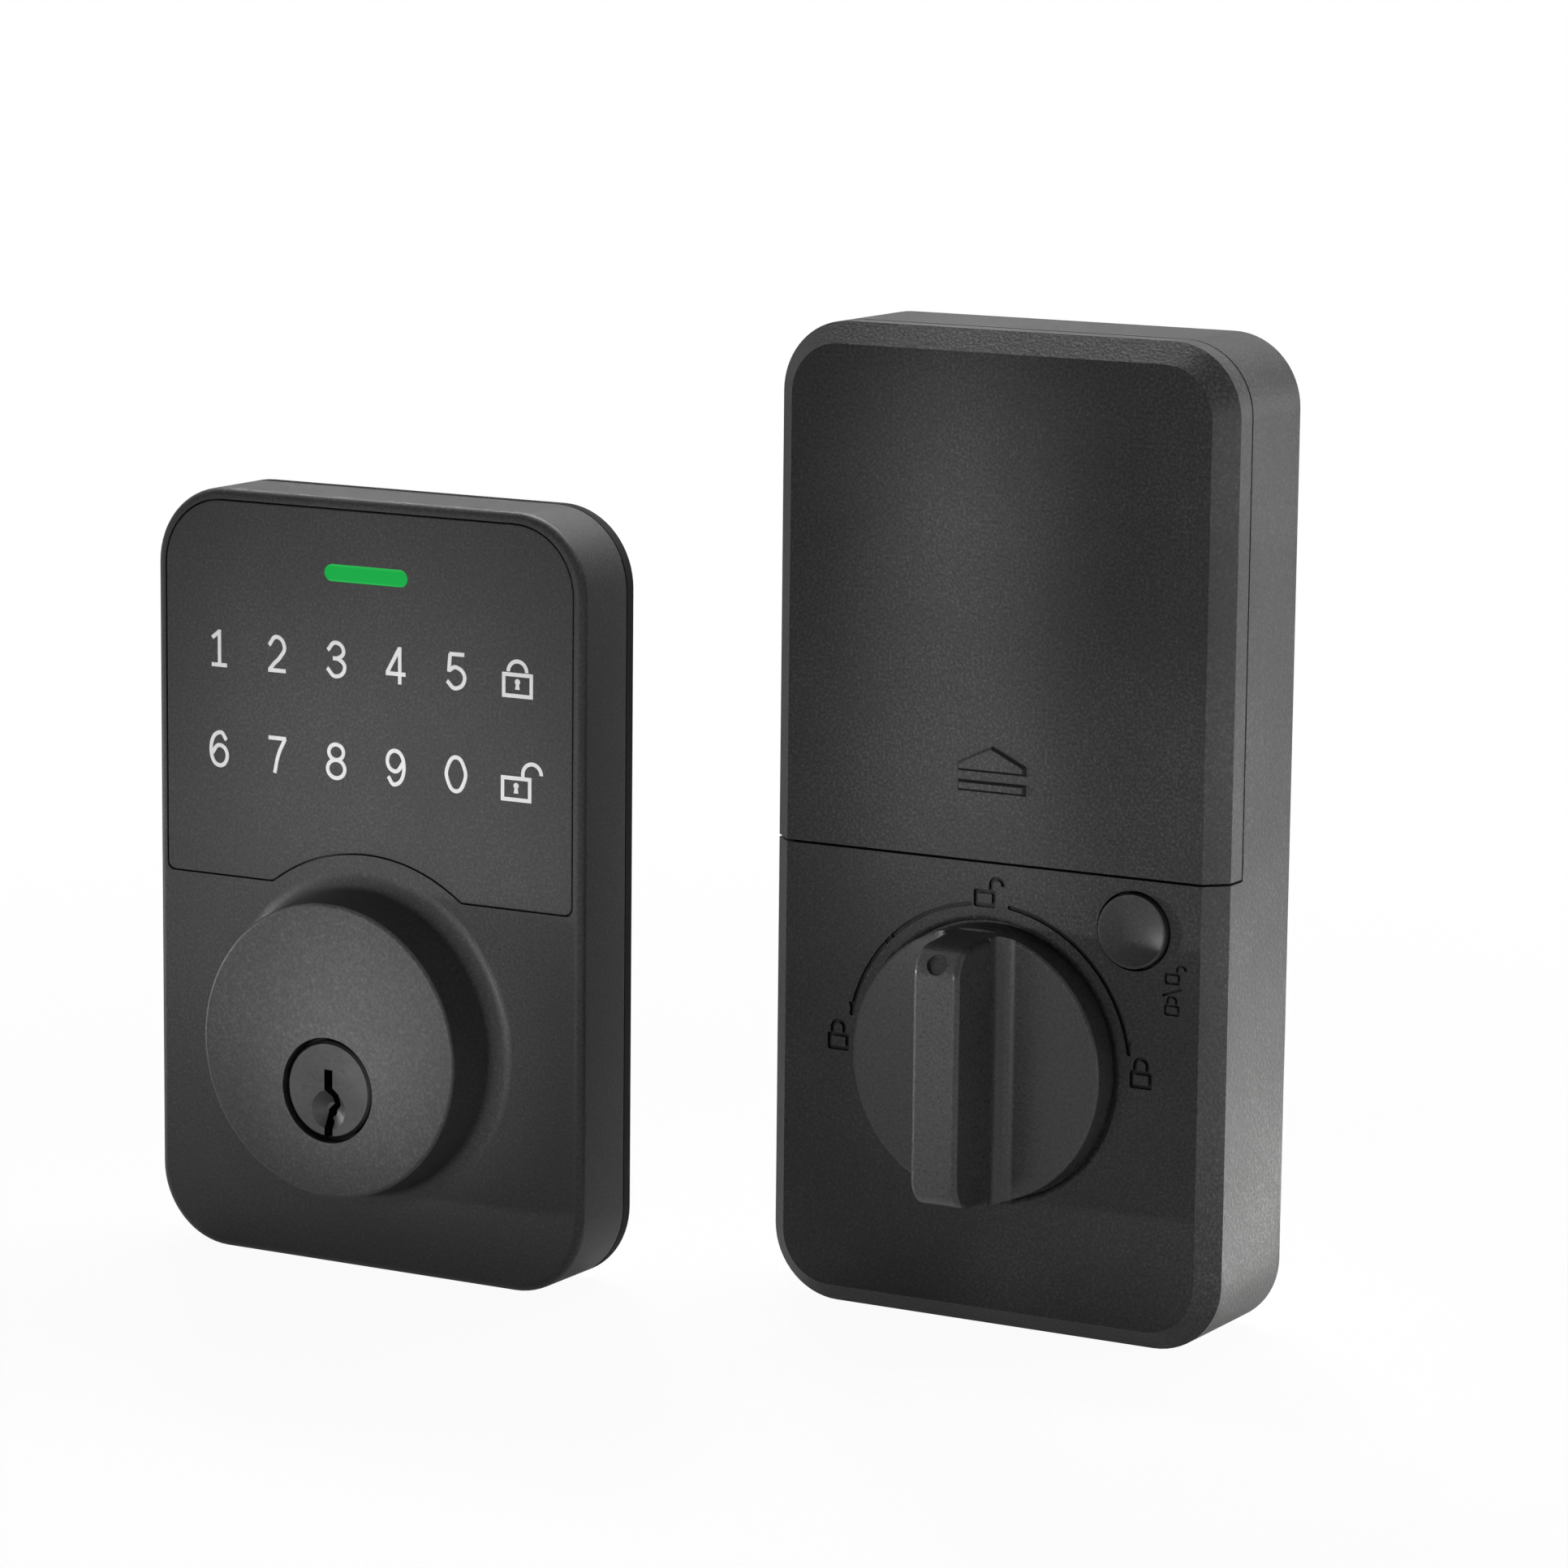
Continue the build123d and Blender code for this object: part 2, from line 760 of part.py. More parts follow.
def keyway_outline():
    """The warded key slot: straight at the top, stepped to the right, then back to the rim."""
    half = keyway_width / 2
    low = -plug_radius - plug_opening
    right = [(half, keyway_top)]
    right += [(half + shift * keyway_step, rise * keyway_step) for shift, rise in keyway_right]
    right += [(half, low)]
    left = [(-half, low)]
    left += [(shift * keyway_step - half, rise * keyway_step) for shift, rise in keyway_left]
    left += [(-half, keyway_top)]
    return Pos(0, plug_z) * Polygon(*right, *left, align=None)


def key_plug():
    head_radius = plug_opening - plug_face_gap
    head = rod(0, plug_z, head_radius, plug_front, collar_floor - face_clearance)
    head = chamfer(front_edges(head), plug_chamfer)
    plug = head + rod(0, plug_z, plug_radius, collar_floor - face_clearance, plug_back)
    plug -= slab(keyway_outline(), plug_front, pin_places[-1] + pin_pitch / 2)
    dimple = Cone(dimple_radius, dimple_radius / 3, dimple_depth)
    plug -= Pos(0, plug_front + dimple_depth / 2, plug_z - dimple_drop) * (Rot(-90, 0, 0) * dimple)
    for y in pin_places:
        plug -= pin_hole(y, 0.0, plug_opening)
    groove = rod(0, plug_z, plug_radius, clip_front, clip_front + clip_thickness)
    plug -= groove - rod(0, plug_z, plug_radius - clip_groove, clip_front, clip_front + clip_thickness)
    plug -= tailpiece()
    return plug - tail_pin()


def key_pins():
    pins = []
    for y, length in zip(pin_places, key_pin_lengths):
        point = pin_radius / 2
        shank = length - point
        top = plug_z + key_pin_top
        pin = Pos(0, y, top - shank / 2) * Cylinder(pin_radius, shank)
        pin += Pos(0, y, top - shank - point / 2) * Cone(pin_radius / 2, pin_radius, point)
        pins.append(pin)
    return pins


def driver_pins():
    middle = plug_z + driver_bottom + driver_length / 2
    return [Pos(0, y, middle) * Cylinder(pin_radius, driver_length) for y in pin_places]


def pin_springs():
    low = plug_z + driver_bottom + driver_length
    high = plug_z + cap_bottom
    sleeve = Cylinder(pin_radius - run_clearance, high - low)
    sleeve -= Cylinder(pin_radius - run_clearance - spring_wall, high - low)
    return [Pos(0, y, (low + high) / 2) * sleeve for y in pin_places]


def plug_clip():
    ring = disc(0, plug_z, clip_radius) - disc(0, plug_z, plug_radius - clip_groove)
    ring -= patch(-clip_mouth / 2, clip_mouth / 2, plug_z - clip_radius, plug_z)
    return slab(ring, clip_front, clip_front + clip_thickness)


def tailpiece():
    half_t = tail_thickness / 2
    half_w = tail_width / 2
    return block(-half_t, half_t, tail_front, tail_end, plug_z - half_w, plug_z + half_w) - tail_pin()


def tail_pin():
    pin = Cylinder(tail_pin_radius, 2 * plug_radius - 2 * seat_clearance)
    return Pos(0, plug_back - tail_pin_setback, plug_z) * (Rot(0, 90, 0) * pin)


def back_plate():
    outline = out_outline(out_wall + seat_clearance)
    half = bible_width / 2 + seat_clearance
    outline -= disc(0, plug_z, barrel_radius + seat_clearance)
    outline -= patch(-half, half, plug_z, plug_z + bible_rise + seat_clearance)
    outline -= disc(0, keypad_socket_z, grommet_radius)
    for x, z in corner_spots:
        outline -= disc(x, z, plate_screw_radius + seat_clearance)
    for x, z in post_spots:
        outline -= disc(x, z, post_radius + seat_clearance)
    return slab(outline, plate_front, casting_depth)


def back_plate_screws():
    length = plate_screw_length + back_plate_thickness - seat_clearance
    return [
        rear_screw(x, z, casting_depth, length, plate_screw_radius, plate_head_radius, plate_head_rise)
        for x, z in corner_spots
    ]


def bolt_post(x, z):
    post = rod(x, z, post_radius, post_seat, post_end)
    post += rod(x, z, post_spigot_radius, post_seat - post_spigot_length, post_seat)
    return post - rod(x, z, post_bore_radius, post_end - post_bore_depth, post_end)


def cable_grommet():
    lip = grommet_radius + grommet_lip
    grommet = rod(0, keypad_socket_z, grommet_radius, plate_front, casting_depth)
    grommet += rod(0, keypad_socket_z, lip, casting_depth, casting_depth + gasket_thickness / 2)
    return grommet - rod(0, keypad_socket_z, grommet_hole, plate_front, casting_depth + gasket_thickness)


def gasket():
    ring = out_outline() - out_outline(gasket_width)
    for x, z in corner_spots:
        ring -= disc(x, z, plate_head_radius + seat_clearance)
    return slab(ring, casting_depth, casting_depth + gasket_thickness)


# Inside unit

def in_block():
    return chamfer(front_edges(slab(in_outline(), 0, in_depth)), in_bevel)


def above(z):
    return patch(-in_width, in_width, z, 2 * in_height)


def below(z):
    return patch(-in_width, in_width, -in_height, z)


def inside_housing():
    top_edge = seam_z - seam_gap
    body = in_block() - block(-in_width, in_width, -in_depth, neck_back, top_edge, 2 * in_height)
    body += slab(in_outline(neck_inset) & above(top_edge), neck_front, neck_back)
    body -= slab(in_outline(in_wall) & below(divider_bottom), in_front, in_depth)
    body -= slab(in_outline(neck_inset + neck_wall) & above(bay_bottom), 0, bay_floor)
    body -= slab(in_outline(in_wall), mount_front, in_depth)
    groove_x = in_half - neck_inset - groove_depth
    groove_front = lip_front - slide_clearance
    groove = block(groove_x, in_width, groove_front, neck_back, lip_bottom - seam_gap, in_height)
    body -= both_sides(groove)
    body += block(-bay_half, bay_half, neck_front, bay_floor, partition_bottom, partition_top)
    recess_radius = disc_radius + recess_gap
    body -= rod(0, turn_z, recess_radius, 0, recess_depth)
    rings = body.edges().filter_by(GeomType.CIRCLE)
    lip = [ring for ring in rings if abs(ring.radius - recess_radius) < touch]
    body = fillet([ring for ring in lip if abs(ring.center().Y) < touch], recess_edge)
    body += rod(0, turn_z, stub_radius + run_clearance + boss_wall, in_front, boss_end)
    body -= rod(0, turn_z, stub_radius + run_clearance, 0, boss_end)
    body += rod(idler_x, idler_z, axle_radius + axle_boss_wall, in_front, small_front - gear_side_gap)
    body -= rod(idler_x, idler_z, axle_radius, in_front, small_front - gear_side_gap)
    pocket = disc(motor_x, motor_z, motor_radius + face_clearance + motor_pocket_wall)
    pocket -= disc(motor_x, motor_z, motor_radius + face_clearance)
    body += slab(pocket, in_front, in_front + motor_pocket_depth)
    for x, z in gear_boss_spots:
        body += rod(x, z, gear_boss_radius, in_front, gear_plate_front)
        body -= rod(x, z, gear_screw_radius, gear_plate_front - gear_screw_length, gear_plate_front)
    for x, z in control_posts:
        body += rod(x, z, board_post_radius, in_front, control_board_front)
        body -= rod(x, z, board_screw_radius, in_front, control_board_front)
    body -= rod(button_x, button_z, button_opening, 0, in_front)
    for x, z in unit_screw_spots:
        body -= rod(x, z, unit_screw_radius + seat_clearance, bay_floor, mount_front)
    body -= Pos(tab_x, base_screw_y(), in_wall / 2) * Cylinder(unit_screw_radius + seat_clearance, in_wall)
    for mark in turn_marks() + button_marks():
        body -= slab(mark, 0, mark_depth)
    return body


def battery_cover():
    cover = in_block() & block(-in_width, in_width, 0, cover_depth, seam_z, in_height)
    inner = slab(in_outline(cover_wall), cover_skin, cover_depth)
    cover -= chamfer(front_edges(inner), cover_inner_bevel)
    wall = in_half - cover_wall
    lip_top = lip_bottom + lip_length
    cover += both_sides(block(wall - lip_reach, wall, lip_front, cover_depth, lip_bottom, lip_top))
    for sign in arrow_signs():
        cover += chamfer(front_edges(slab(sign, -arrow_rise, cover_skin / 2)), arrow_edge)
    return cover


def grip_bar():
    """The grip bar: a core rounded on all its rims, on a footing that runs out into the disc."""
    base = -disc_proud
    front = base - grip_height
    end = disc_radius - grip_draft
    side = Polygon((0, -disc_radius), (front, -end), (front, end), (0, disc_radius), align=None)
    side = fillet(side.vertices().group_by(Axis.X)[0], grip_corner)
    reach = extrude(Plane.YZ * side, amount=disc_radius, both=True)
    top = grip_width / 2
    foot = top + grip_flare
    buried = base / 2
    core = Polygon((-top, front), (top, front), (foot, buried), (-foot, buried), align=None)
    core = extrude(core, amount=disc_radius, both=True) & reach
    flanks = [edge for edge in core.edges() if abs(edge.center().X) > top / 2]
    core = fillet([edge for edge in flanks if edge.center().Y < buried - touch], grip_edge)
    root = base - grip_fillet
    wall = top + grip_flare * (root - front) / (buried - front)
    bend = grip_fillet * (1 - sqrt(0.5))
    out = wall + grip_fillet
    footing = make_face(
        [
            Polyline((wall, root), (0, root), (0, buried), (out, buried), (out, base)),
            ThreePointArc((out, base), (wall + bend, base - bend), (wall, root)),
        ]
    )
    footing += mirror(footing, about=Plane.YZ)
    bar = core + (extrude(footing, amount=disc_radius, both=True) & reach)
    return bar & rod(0, 0, disc_radius, front, 0)


def grip_dot():
    """A round dimple, sunk square to the rounded upper corner of the grip bar."""
    front = disc_proud + grip_height
    lean = atan2(grip_draft, front)
    middle = disc_radius - grip_draft - grip_corner * tan(pi / 4 - lean / 2)
    angle = radians(dot_angle)
    spot = Pos(0, grip_corner * (1 - cos(angle)) - front, middle + grip_corner * sin(angle))
    return spot * Rot(90 - dot_angle, 0, 0) * Cylinder(dot_radius, 2 * dot_depth)


def thumbturn():
    back = recess_depth - seat_clearance
    plate = rod(0, 0, disc_radius, -disc_proud, back)
    plate = fillet(front_edges(plate), disc_edge)
    turn = plate + grip_bar() + rod(0, 0, stub_radius, back, stub_end)
    turn = Pos(0, 0, turn_z) * (turn - grip_dot())
    half = tongue_side / 2
    turn -= block(-half, half, stub_end - tongue_length, stub_end, turn_z - half, turn_z + half)
    return turn - hub_screw()


def spindle_hub():
    half = tongue_side / 2
    hub = block(-half, half, stub_end - tongue_length, stub_end, turn_z - half, turn_z + half)
    hub += rod(0, turn_z, hub_flange_radius, stub_end, hub_flange_back)
    seat = disc(0, turn_z, hub_radius) & patch(-hub_flat, hub_flat, turn_z - hub_radius, turn_z + hub_radius)
    hub += slab(seat, hub_flange_back, spindle_gear_back)
    hub += rod(0, turn_z, hub_radius, spindle_gear_back, hub_end)
    half_t = tail_thickness / 2 + slide_clearance
    half_w = tail_width / 2 + slide_clearance
    hub -= block(-half_t, half_t, hub_socket_floor, hub_end, turn_z - half_w, turn_z + half_w)
    head_seat = hub_socket_floor - hub_head_rise
    hub -= rod(0, turn_z, hub_head_radius + seat_clearance, head_seat, hub_socket_floor)
    return hub - hub_screw()


def hub_screw():
    seat = hub_socket_floor - hub_head_rise
    return rear_screw(0, turn_z, seat, seat - in_front, hub_screw_radius, hub_head_radius, hub_head_rise)


def spindle_gear():
    seat = disc(0, turn_z, hub_radius) & patch(-hub_flat, hub_flat, turn_z - hub_radius, turn_z + hub_radius)
    outline = Pos(0, turn_z) * gear_face(spindle_teeth, 0.0) - seat
    return slab(outline, hub_flange_back, spindle_gear_back)


def idler_gear():
    bearing = radians(idler_bearing)
    small = gear_face(small_teeth, meshing_phase(spindle_teeth, 0.0, small_teeth, bearing))
    big = gear_face(big_teeth, 0.0)
    gear = slab(Pos(idler_x, idler_z) * small, small_front, big_front)
    gear += slab(Pos(idler_x, idler_z) * big, big_front, big_back)
    return gear - rod(idler_x, idler_z, axle_radius + run_clearance, small_front, big_back)


def idler_axle():
    return rod(idler_x, idler_z, axle_radius, in_front, gear_plate_back)


def motor_can():
    can = rod(motor_x, motor_z, motor_radius, motor_front, motor_back)
    bore = motor_shaft_radius + run_clearance
    can -= rod(motor_x, motor_z, bore, motor_back - motor_shaft_depth, motor_back)
    return fillet(front_edges(can), out_edge)


def motor_shaft():
    front = motor_back - motor_shaft_depth + face_clearance
    return rod(motor_x, motor_z, motor_shaft_radius, front, big_back)


def motor_pinion():
    phase = meshing_phase(big_teeth, 0.0, pinion_teeth, radians(motor_bearing))
    outline = Pos(motor_x, motor_z) * gear_face(pinion_teeth, phase)
    return slab(outline - disc(motor_x, motor_z, motor_shaft_radius), big_front, big_back)


def gear_plate():
    """The steel plate behind the gears, cut back beside the hub to clear the bolt heads."""
    outline = Pos(0, turn_z) * Polygon(*gear_plate_low, *gear_plate_high, align=None)
    outline -= disc(0, turn_z, hub_radius + run_clearance)
    outline -= disc(idler_x, idler_z, axle_radius)
    for x, z in gear_boss_spots:
        outline -= disc(x, z, gear_screw_radius)
    return slab(outline, gear_plate_front, gear_plate_back)


def gear_plate_screws():
    length = gear_screw_length + gear_plate_thickness - seat_clearance
    return [
        rear_screw(x, z, gear_plate_back, length, gear_screw_radius, gear_head_radius, gear_head_rise)
        for x, z in gear_boss_spots
    ]


def lock_button():
    flange_front = in_front + run_clearance
    flange_back = flange_front + button_flange_thickness
    button = rod(button_x, button_z, button_radius, -button_proud, flange_front)
    button += rod(button_x, button_z, button_radius + button_flange, flange_front, flange_back)
    button += rod(button_x, button_z, button_stem_radius, flange_back, flange_back + button_stem_length)
    edge = button_radius - button_rim
    ball = (edge**2 + button_dish**2) / (2 * button_dish)
    return button - Pos(button_x, button_dish - button_proud - ball, button_z) * Sphere(ball)


def plunger_front():
    return in_front + run_clearance + button_flange_thickness + button_stem_length


def switch_plunger():
    front = plunger_front()
    return rod(button_x, button_z, plunger_radius, front, front + plunger_length + button_travel)


def button_switch():
    half = switch_side / 2
    front = control_board_front - switch_height
    body = block(
        button_x - half, button_x + half, front, control_board_front, button_z - half, button_z + half
    )
    return body - rod(button_x, button_z, plunger_radius + run_clearance, front, control_board_front)


def control_board():
    half = in_half - in_wall - seat_clearance
    outline = patch(-half, half, control_board_bottom, control_board_top)
    for x, z in gear_boss_spots:
        outline -= disc(x, z, gear_boss_radius + seat_clearance)
    for x, z in control_posts:
        outline -= disc(x, z, board_screw_radius + seat_clearance / 2)
    return slab(outline, control_board_front, control_board_back)


def control_board_screws():
    length = control_board_back - in_front - face_clearance
    return [
        rear_screw(x, z, control_board_back, length, board_screw_radius, board_head_radius, board_head_rise)
        for x, z in control_posts
    ]


def control_chip():
    half = chip_side / 2
    low = control_board_mid - half
    back = control_board_back + chip_rise
    return block(control_chip_x - half, control_chip_x + half, control_board_back, back, low, low + chip_side)


def control_socket():
    half = socket_width / 2
    low = control_board_mid - socket_height / 2
    wall = socket_height / 6
    back = control_board_back + socket_rise
    left = control_socket_x - half
    shell = block(left, left + socket_width, control_board_back, back, low, low + socket_height)
    room = block(
        left + wall,
        left + socket_width - wall,
        control_board_back + wall,
        back,
        low + wall,
        low + socket_height - wall,
    )
    return shell - room


def battery_cell(index):
    x = (index - (cell_count - 1) / 2) * cell_pitch
    body_length = cell_length - cell_nub_rise
    cell = Pos(0, 0, body_length / 2) * Cylinder(cell_radius, body_length)
    cell += Pos(0, 0, body_length + cell_nub_rise / 2) * Cylinder(cell_nub_radius, cell_nub_rise)
    if index % 2 == 0:
        return Pos(x, cell_y, cell_bottom) * cell
    return Pos(x, cell_y, cell_top) * (Rot(180, 0, 0) * cell)


def battery_contact(first, last, wall_z, cell_z):
    """A strip on the end wall that joins neighbouring cells, with a slanted tongue for each."""
    toward = 1 if cell_z > wall_z else -1
    inner = wall_z + toward * contact_thickness
    left = (first - (cell_count - 1) / 2) * cell_pitch - cell_radius + cell_gap
    right = (last - (cell_count - 1) / 2) * cell_pitch + cell_radius - cell_gap
    front = cell_y - contact_depth / 2
    back = cell_y + contact_depth / 2
    strip = block(left, right, front, back, min(wall_z, inner), max(wall_z, inner))
    slant = [(front, wall_z), (front + 2 * contact_thickness, wall_z)]
    slant += [(cell_y + contact_thickness, cell_z), (cell_y - contact_thickness, cell_z)]
    tongue = Plane.YZ * Polygon(*slant, align=None)
    for index in range(first, last + 1):
        x = (index - (cell_count - 1) / 2) * cell_pitch
        strip += Pos(x, 0, 0) * extrude(tongue, amount=tongue_width / 2, both=True)
    return strip


def lower_contacts():
    pairs = [(0, 0)] + [(k, k + 1) for k in range(1, cell_count - 2, 2)] + [(cell_count - 1, cell_count - 1)]
    return [battery_contact(first, last, bay_bottom, cell_bottom) for first, last in pairs]


def upper_contacts():
    return [battery_contact(k, k + 1, partition_bottom, cell_top) for k in range(0, cell_count, 2)]


def base_screw_y():
    return mount_front - tab_depth / 2


def base_screw():
    return Pos(tab_x, base_screw_y(), base_screw_length / 2 + tab_lift / 2) * Cylinder(
        unit_screw_radius, base_screw_length
    )


def mounting_plate():
    outline = in_outline(in_wall + seat_clearance)
    outline -= disc(0, turn_z, mount_hole_radius)
    for side in (-1, 1):
        outline -= disc(side * bolt_spacing / 2, turn_z, mount_bolt_radius)
    for x, z in unit_screw_spots:
        outline -= disc(x, z, unit_screw_radius)
    plate = slab(outline, mount_front, in_depth)
    low = in_wall + tab_lift
    high = low + mount_thickness
    half = tab_width / 2
    plate += block(tab_x - half, tab_x + half, mount_front - tab_depth, mount_front, low, high)
    return plate - base_screw()


def unit_screws():
    screws = []
    for x, z in unit_screw_spots:
        screw = rod(x, z, unit_screw_radius, bay_floor, in_depth)
        screw += rod(x, z, unit_head_radius, bay_floor - unit_head_rise, bay_floor)
        top = bay_floor - unit_head_rise
        screws.append(screw - cross_recess(x, z, unit_head_radius, top, top + unit_head_rise / 2))
    return screws


outside_nodes = {
    "outside_housing": outside_housing(),
    "keypad_panel": keypad_panel(),
    "led_window": led_window(),
    "keypad_board": keypad_board(),
    "keypad_light_chips": keypad_light_chips(),
    "keypad_chip": keypad_chip(),
    "keypad_buzzer": keypad_buzzer(),
    "keypad_socket": keypad_socket(),
    "keypad_board_screws": keypad_board_screws(),
    "cylinder_body": cylinder_body(),
    "chamber_cap": chamber_cap(),
    "cylinder_screws": cylinder_screws(),
    "key_plug": key_plug(),
    "key_pins": key_pins(),
    "driver_pins": driver_pins(),
    "pin_springs": pin_springs(),
    "plug_clip": plug_clip(),
    "tailpiece": tailpiece(),
    "tail_pin": tail_pin(),
    "back_plate": back_plate(),
    "back_plate_screws": back_plate_screws(),
    "bolt_post_left": bolt_post(*post_spots[0]),
    "bolt_post_right": bolt_post(*post_spots[1]),
    "cable_grommet": cable_grommet(),
    "gasket": gasket(),
}
inside_nodes = {
    "inside_housing": inside_housing(),
    "battery_cover": battery_cover(),
    "lower_contacts": lower_contacts(),
    "upper_contacts": upper_contacts(),
    "thumbturn": thumbturn(),
    "spindle_hub": spindle_hub(),
    "hub_screw": hub_screw(),
    "spindle_gear": spindle_gear(),
    "idler_gear": idler_gear(),
    "idler_axle": idler_axle(),
    "motor_can": motor_can(),
    "motor_shaft": motor_shaft(),
    "motor_pinion": motor_pinion(),
    "gear_plate": gear_plate(),
    "gear_plate_screws": gear_plate_screws(),
    "lock_button": lock_button(),
    "switch_plunger": switch_plunger(),
    "button_switch": button_switch(),
    "control_board": control_board(),
    "control_board_screws": control_board_screws(),
    "control_chip": control_chip(),
    "control_socket": control_socket(),
    "mounting_plate": mounting_plate(),
    "unit_screws": unit_screws(),
    "base_screw": base_screw(),
}
for index in range(cell_count):
    inside_nodes[f"battery_cell_{index + 1}"] = battery_cell(index)

os.makedirs("parts", exist_ok=True)
for place, nodes in ((out_place, outside_nodes), (in_place, inside_nodes)):
    for name, shape in nodes.items():
        solids = shape if isinstance(shape, list) else [shape]
        export_step(Compound(children=[place * solid for solid in solids]), f"parts/{name}.step")
print("inside unit", round(in_width, 3), round(in_height, 3), round(in_depth, 3))
print("thumbturn axis", round(turn_z, 3), "seam", round(seam_z, 3))
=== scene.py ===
# %% [markdown]
# # A keypad smart lock, dressed in Blender
#
# The lock is two black boxes for the two faces of a door. The outside one has a touch keypad over
# a key cylinder, the inside one a battery cover over a thumbturn and a button. The solids come
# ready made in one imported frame, so this script gives them their finishes, prints the keypad and
# sets up the studio. Loading the frame comes first, because every later step reads its places.

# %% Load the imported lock
import json
import math

import bmesh
import bpy
from mathutils import Matrix, Vector


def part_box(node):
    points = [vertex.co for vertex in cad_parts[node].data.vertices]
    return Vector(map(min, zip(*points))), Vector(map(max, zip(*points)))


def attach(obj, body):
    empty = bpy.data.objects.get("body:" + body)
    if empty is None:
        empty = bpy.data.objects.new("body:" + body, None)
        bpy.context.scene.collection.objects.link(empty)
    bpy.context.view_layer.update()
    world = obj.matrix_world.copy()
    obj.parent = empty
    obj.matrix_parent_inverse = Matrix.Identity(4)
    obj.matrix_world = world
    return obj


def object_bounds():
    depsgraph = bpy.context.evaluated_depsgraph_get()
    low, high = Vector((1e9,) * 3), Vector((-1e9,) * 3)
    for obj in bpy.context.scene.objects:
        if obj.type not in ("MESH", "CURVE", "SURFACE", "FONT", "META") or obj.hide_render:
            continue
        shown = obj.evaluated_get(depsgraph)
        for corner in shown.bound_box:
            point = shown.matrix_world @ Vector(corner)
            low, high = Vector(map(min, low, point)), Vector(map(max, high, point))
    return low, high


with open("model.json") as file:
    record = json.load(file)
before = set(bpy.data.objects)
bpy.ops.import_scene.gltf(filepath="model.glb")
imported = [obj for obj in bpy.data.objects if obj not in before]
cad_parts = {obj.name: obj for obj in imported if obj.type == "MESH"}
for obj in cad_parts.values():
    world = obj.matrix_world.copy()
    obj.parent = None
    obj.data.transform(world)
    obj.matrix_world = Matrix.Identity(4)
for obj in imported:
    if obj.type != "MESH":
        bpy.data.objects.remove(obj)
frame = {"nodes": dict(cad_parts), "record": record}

MM = 0.001


def in_mm(box):
    """The six limits of a box in millimetres, for printing."""
    return [round(limit / MM, 2) for corner in box for limit in corner]


cad_box = [list(corner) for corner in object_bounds()]
print("loaded", len(frame["nodes"]), "solids, box", in_mm(cad_box), "mm")

# %% [markdown]
# ## The camera
#
# The photograph looks at the pair from the right and a little from above with a long lens, so the
# upright edges stay nearly parallel. Its camera was worked out from the corners of both boxes. A
# camera can be aimed with a Track To constraint, but a small roll is part of this view, so its
# three axes are written straight into its matrix.

# %% Aim the camera
def add_object(name, data):
    """An object for a camera, lamp, curve or mesh, put into the scene."""
    added = bpy.data.objects.new(name, data)
    bpy.context.scene.collection.objects.link(added)
    return added


yaw, pitch, roll = (math.radians(angle) for angle in (29.698, 9.671, 0.594))
camera_spot = Vector((407.0, -697.49, 207.07)) * MM
forward = Vector((
    -math.sin(yaw) * math.cos(pitch),
    math.cos(yaw) * math.cos(pitch),
    -math.sin(pitch),
))
level = Vector((math.cos(yaw), math.sin(yaw), 0))
upright = level.cross(forward)
right = level * math.cos(roll) + upright * math.sin(roll)
up = upright * math.cos(roll) - level * math.sin(roll)
lens = bpy.data.cameras.new("photo_lens")
lens.lens = 136.75
lens.sensor_width = 36
lens.clip_end = 50
camera = add_object("photo_camera", lens)
turned = Matrix((right, up, -forward)).transposed().to_4x4()
camera.matrix_world = Matrix.Translation(camera_spot) @ turned
bpy.context.scene.camera = camera
lock_middle = (Vector(cad_box[0]) + Vector(cad_box[1])) / 2
print("camera", round((camera_spot - lock_middle).length, 3), "m from the lock")

# %% [markdown]
# ## Finishes made of nodes
#
# Every surface gets a small tree of nodes round one shader. A picture of a surface would fix its
# grain to one size and one side, so these trees start from noise in the object's own coordinates,
# which looks the same from everywhere and rides along when a part moves. The first helpers start
# such a tree, make the noise and turn it into colours.

# %% Tools for colour
def new_finish(name):
    """An empty node material with its tree, its shader and its Object coordinates."""
    material = bpy.data.materials.new(name)
    material.use_nodes = True
    tree = material.node_tree
    shader = tree.nodes["Principled BSDF"]
    place = tree.nodes.new("ShaderNodeTexCoord").outputs["Object"]
    return material, tree, shader, place


def grain(tree, place, size, detail=2.0):
    """A noise pattern whose blobs are about size metres across."""
    noise = tree.nodes.new("ShaderNodeTexNoise")
    noise.inputs["Scale"].default_value = 1 / size
    noise.inputs["Detail"].default_value = detail
    tree.links.new(place, noise.inputs["Vector"])
    return noise.outputs[0]


def tint(tree, pattern, socket, stops):
    """Colours a pattern with a ramp. A stop is a place from 0 to 1 and a colour."""
    ramp = tree.nodes.new("ShaderNodeValToRGB")
    while len(ramp.color_ramp.elements) < len(stops):
        ramp.color_ramp.elements.new(0.5)
    for element, (spot, colour) in zip(ramp.color_ramp.elements, stops):
        element.position = spot
        element.color = (*colour, 1)
    tree.links.new(pattern, ramp.inputs["Fac"])
    tree.links.new(ramp.outputs["Color"], socket)


NOISE_RANGE = (0.3, 0.7)


def two_tone(dark, light):
    """Ramp stops that spread two colours over the range that noise seldom leaves."""
    return list(zip(NOISE_RANGE, (dark, light)))


print("tools for colour, for noise from", NOISE_RANGE[0], "to", NOISE_RANGE[1])

# %% [markdown]
# Numbers are worked out by nodes as well. Each kind of node has its own sockets to fill, so these
# helpers make one node from what goes in and hand back what comes out. What goes in can be a plain
# number or another node's output.

# %% Tools for numbers
def feed(tree, value, socket):
    """Links another node's output to a socket, or sets the socket to a plain value."""
    if isinstance(value, bpy.types.NodeSocket):
        tree.links.new(value, socket)
    else:
        socket.default_value = value


